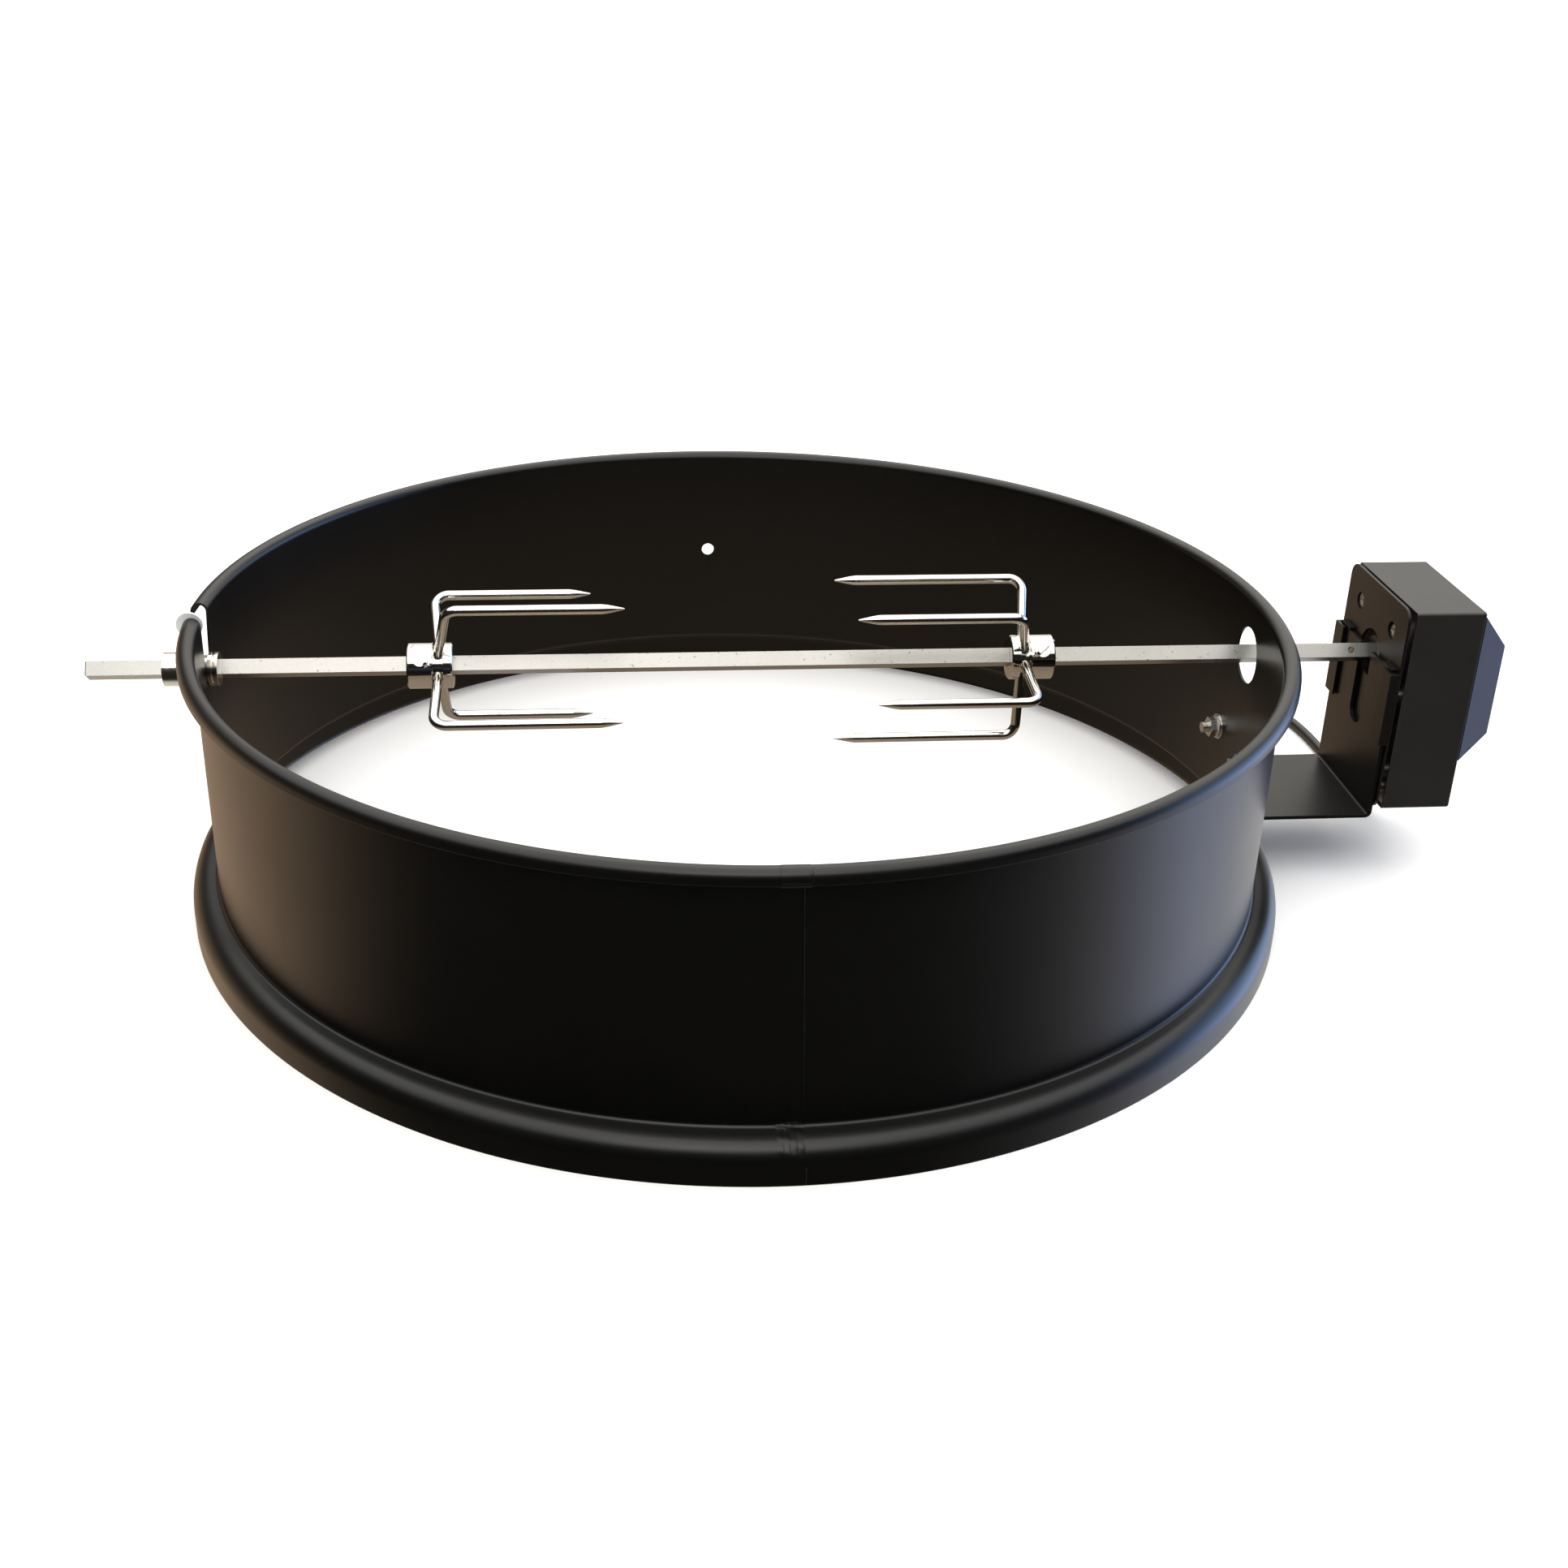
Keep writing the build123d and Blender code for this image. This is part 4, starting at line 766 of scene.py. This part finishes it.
# the tie: a thin strap round the coil's turns, with a ratchet head and a toothed tail
tie_inner = (0.1262, 0.1452, 0.0009, 0.0137)
tie_sheet = 0.0008
tie_corner = 0.003
tie_half = 0.0024
tooth_pitch = 0.0008


def tie_loop(grow):
    """The strap's line round the coil, clockwise from the front, grown outwards."""
    x0, x1, z0, z1 = tie_inner
    line = rounded_path([(x0 - grow, (z0 + z1) / 2), (x0 - grow, z0 - grow), (x1 + grow, z0 - grow),
                         (x1 + grow, z1 + grow), (x0 - grow, z1 + grow), (x0 - grow, (z0 + z1) / 2)],
                        [tie_corner + grow] * 4, 6)
    return [tuple(p) for p in line[:0:-1]]


outer_loop = tie_loop(tie_sheet)
inner_loop = tie_loop(0.0)
tie_y = (coil_centre.y - tie_half, coil_centre.y + tie_half)
strap_corners = [(x, y, z) for loop in (outer_loop, inner_loop) for y in tie_y for x, z in loop]
count = len(outer_loop)
strap_faces = []
for k in range(count):
    n = (k + 1) % count
    strap_faces.append((k, n, count + n, count + k))
    strap_faces.append((2 * count + k, 3 * count + k, 3 * count + n, 2 * count + n))
    strap_faces.append((k, 2 * count + k, 2 * count + n, n))
    strap_faces.append((count + k, count + n, 3 * count + n, 3 * count + k))


def add_block(corners, faces, low, high, taper=0.0):
    """Adds a block whose top is drawn in by the taper."""
    start = len(corners)
    for z, inset in ((low[2], 0.0), (high[2], taper)):
        corners += [(low[0] + inset, low[1] + inset, z), (high[0] - inset, low[1] + inset, z),
                    (high[0] - inset, high[1] - inset, z), (low[0] + inset, high[1] - inset, z)]
    for face in ((3, 2, 1, 0), (4, 5, 6, 7), (0, 1, 5, 4), (1, 2, 6, 5), (2, 3, 7, 6), (3, 0, 4, 7)):
        faces.append(tuple(start + k for k in face))


# the ratchet head, the tail standing up through it, and the tail's teeth
head_low = tie_inner[3] + tie_sheet - 0.0002
add_block(strap_corners, strap_faces, (0.1322, tie_y[0] - 0.001, head_low),
          (0.1362, tie_y[1] + 0.001, head_low + 0.003), 0.0004)
add_block(strap_corners, strap_faces, (0.1333, tie_y[0] + 0.0003, head_low + 0.0028),
          (0.1344, tie_y[1] - 0.0003, head_low + 0.0075), 0.0001)
for tooth in range(5):
    tooth_low = head_low + 0.0032 + tooth_pitch * tooth
    add_block(strap_corners, strap_faces, (0.1343, tie_y[0] + 0.0008, tooth_low),
              (0.1347, tie_y[1] - 0.0008, tooth_low + 0.0004), 0.0001)
strap_tie = stand("strap_tie", painted_mesh("strap_tie", strap_corners, strap_faces, switch_plastic))
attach(strap_tie, "ring")
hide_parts("cord_tie")
brass = finish("plug brass", (0.72, 0.55, 0.25), (0.8, 0.65, 0.35), 0.22, metal=1.0)
coat("plug_pins", brass)

# ---- Studio ----
# A white floor and a white backdrop stand behind the object. Soft panels of light, warm from the
# left and cool from the right, and a dull brown card inside the ring are there for the dark coats
# to reflect; a broad lamp overhead and one high in front light the rest.
def studio_paint(name, colour, roughness=0.5, glow=None):
    """A plain paint for the studio's own pieces."""
    paint = bpy.data.materials.new(name)
    paint.use_nodes = True
    shader = paint.node_tree.nodes["Principled BSDF"]
    shader.inputs["Base Color"].default_value = (*colour, 1.0)
    shader.inputs["Roughness"].default_value = roughness
    if glow:
        shader.inputs["Emission Color"].default_value = (*glow, 1.0)
        shader.inputs["Emission Strength"].default_value = 1.0
    return paint


floor_half = 8
floor_corners = [(x * floor_half, y * floor_half, 0) for x, y in ((-1, -1), (1, -1), (1, 1), (-1, 1))]
floor_paint = studio_paint("studio floor", (0.9, 0.9, 0.9), roughness=0.9)
floor = stand("studio_floor", painted_mesh("studio_floor", floor_corners, [(0, 1, 2, 3)], floor_paint))
floor.visible_glossy = False

card_radius = 0.289
card_height = 0.0006
card_sides = 64
card_turns = [2 * math.pi * k / card_sides for k in range(card_sides)]
card_corners = [(card_radius * math.cos(turn), card_radius * math.sin(turn), card_height)
                for turn in card_turns]
card_paint = studio_paint("brown card", (0.0, 0.0, 0.0), glow=(0.3, 0.225, 0.155))
card = stand("brown_card", painted_mesh("brown_card", card_corners, [tuple(range(card_sides))], card_paint))
card.visible_camera = False
card.visible_diffuse = False
card.visible_shadow = False

world = bpy.data.worlds.new("studio")
world.use_nodes = True
sky = world.node_tree
backdrop = sky.nodes["Background"]
direction = put(sky, "ShaderNodeTexCoord")


def wall_panel(light_so_far, towards, spread, colour):
    """Adds a soft patch of light from one direction, fading out at its spread in degrees."""
    facing = put(sky, "ShaderNodeVectorMath", {0: direction.outputs["Generated"],
                                               1: Vector(towards).normalized()}, operation="DOT_PRODUCT")
    patch = put(sky, "ShaderNodeMapRange", {"Value": facing.outputs["Value"], "From Max": 1.0,
                                            "From Min": math.cos(math.radians(spread))},
                interpolation_type="SMOOTHSTEP")
    added = put(sky, "ShaderNodeMix", {0: patch.outputs["Result"], 6: light_so_far, 7: (*colour, 1.0)},
                data_type="RGBA", blend_type="ADD")
    return added.outputs[2]


# each panel's direction, its spread in degrees and its colour
panels = [
    ((-0.68, 0.6, -0.43), 45, (0.95, 0.66, 0.43)), ((0.78, 0.44, -0.42), 52, (1.15, 1.12, 1.08)),
    ((0.93, 0.14, -0.28), 24, (0.34, 0.56, 1.3)), ((0.88, -0.2, -0.4), 34, (0.26, 0.24, 0.24)),
    ((0.92, 0.3, 0.08), 32, (1.1, 1.9, 3.6)), ((0.0, 0.1, 0.99), 62, (1.35, 1.3, 1.2)),
    ((0.2, 0.85, 0.4), 40, (1.3, 1.25, 1.15)), ((0.0, 0.15, -1.0), 50, (0.85, 0.82, 0.76))]
light = put(sky, "ShaderNodeRGB").outputs[0]
light.default_value = (0.022, 0.02, 0.018, 1.0)
for towards, spread, colour in panels:
    light = wall_panel(light, towards, spread, colour)
paths = put(sky, "ShaderNodeLightPath")
paper = put(sky, "ShaderNodeMix", {0: paths.outputs["Is Camera Ray"], 6: light, 7: (1.0, 1.0, 1.0, 1.0)},
            data_type="RGBA")
sky.links.new(paper.outputs[2], backdrop.inputs["Color"])
backdrop.inputs["Strength"].default_value = 1.0
bpy.context.scene.world = world
bpy.context.scene.view_settings.view_transform = "Standard"

front = bpy.data.lights.new("front_high", "AREA")
front.shape = "RECTANGLE"
front.size, front.size_y = (1.5, 1.0)
front.energy = 11
front.color = (1.0, 0.98, 0.95)
front_lamp = stand("front_high", front)
front_lamp.location = (-0.3, -1.9, 2.0)
front_lamp.rotation_euler = (Vector((0, 0, 0.1)) - front_lamp.location).to_track_quat("-Z", "Y").to_euler()

overhead = bpy.data.lights.new("overhead", "SUN")
overhead.energy = 3.5
overhead.angle = math.radians(110)
stand("overhead", overhead)

# the camera looks down at the front of the ring
azimuth, elevation, roll = (math.radians(v) for v in (-6.07, 26.43, 1.51))
back = Vector((math.sin(azimuth) * math.cos(elevation), -math.cos(azimuth) * math.cos(elevation),
               math.sin(elevation)))
right = (-back).cross(Vector((0, 0, 1))).normalized()
up = right.cross(-back)
across = right * math.cos(roll) + up * math.sin(roll)
upward = up * math.cos(roll) - right * math.sin(roll)
camera_range = 1.0341
looked_at = Vector((0.0176, 0.0, 0.0444))
camera = stand("camera", bpy.data.cameras.new("camera"))
camera.data.sensor_width = 36.0
camera.data.lens = 43.3
camera.data.shift_x = 0.008
camera.data.shift_y = -0.0008
camera.matrix_world = Matrix.Translation(looked_at + back * camera_range) @ Matrix(
    (across, upward, back)).transposed().to_4x4()
bpy.context.scene.camera = camera
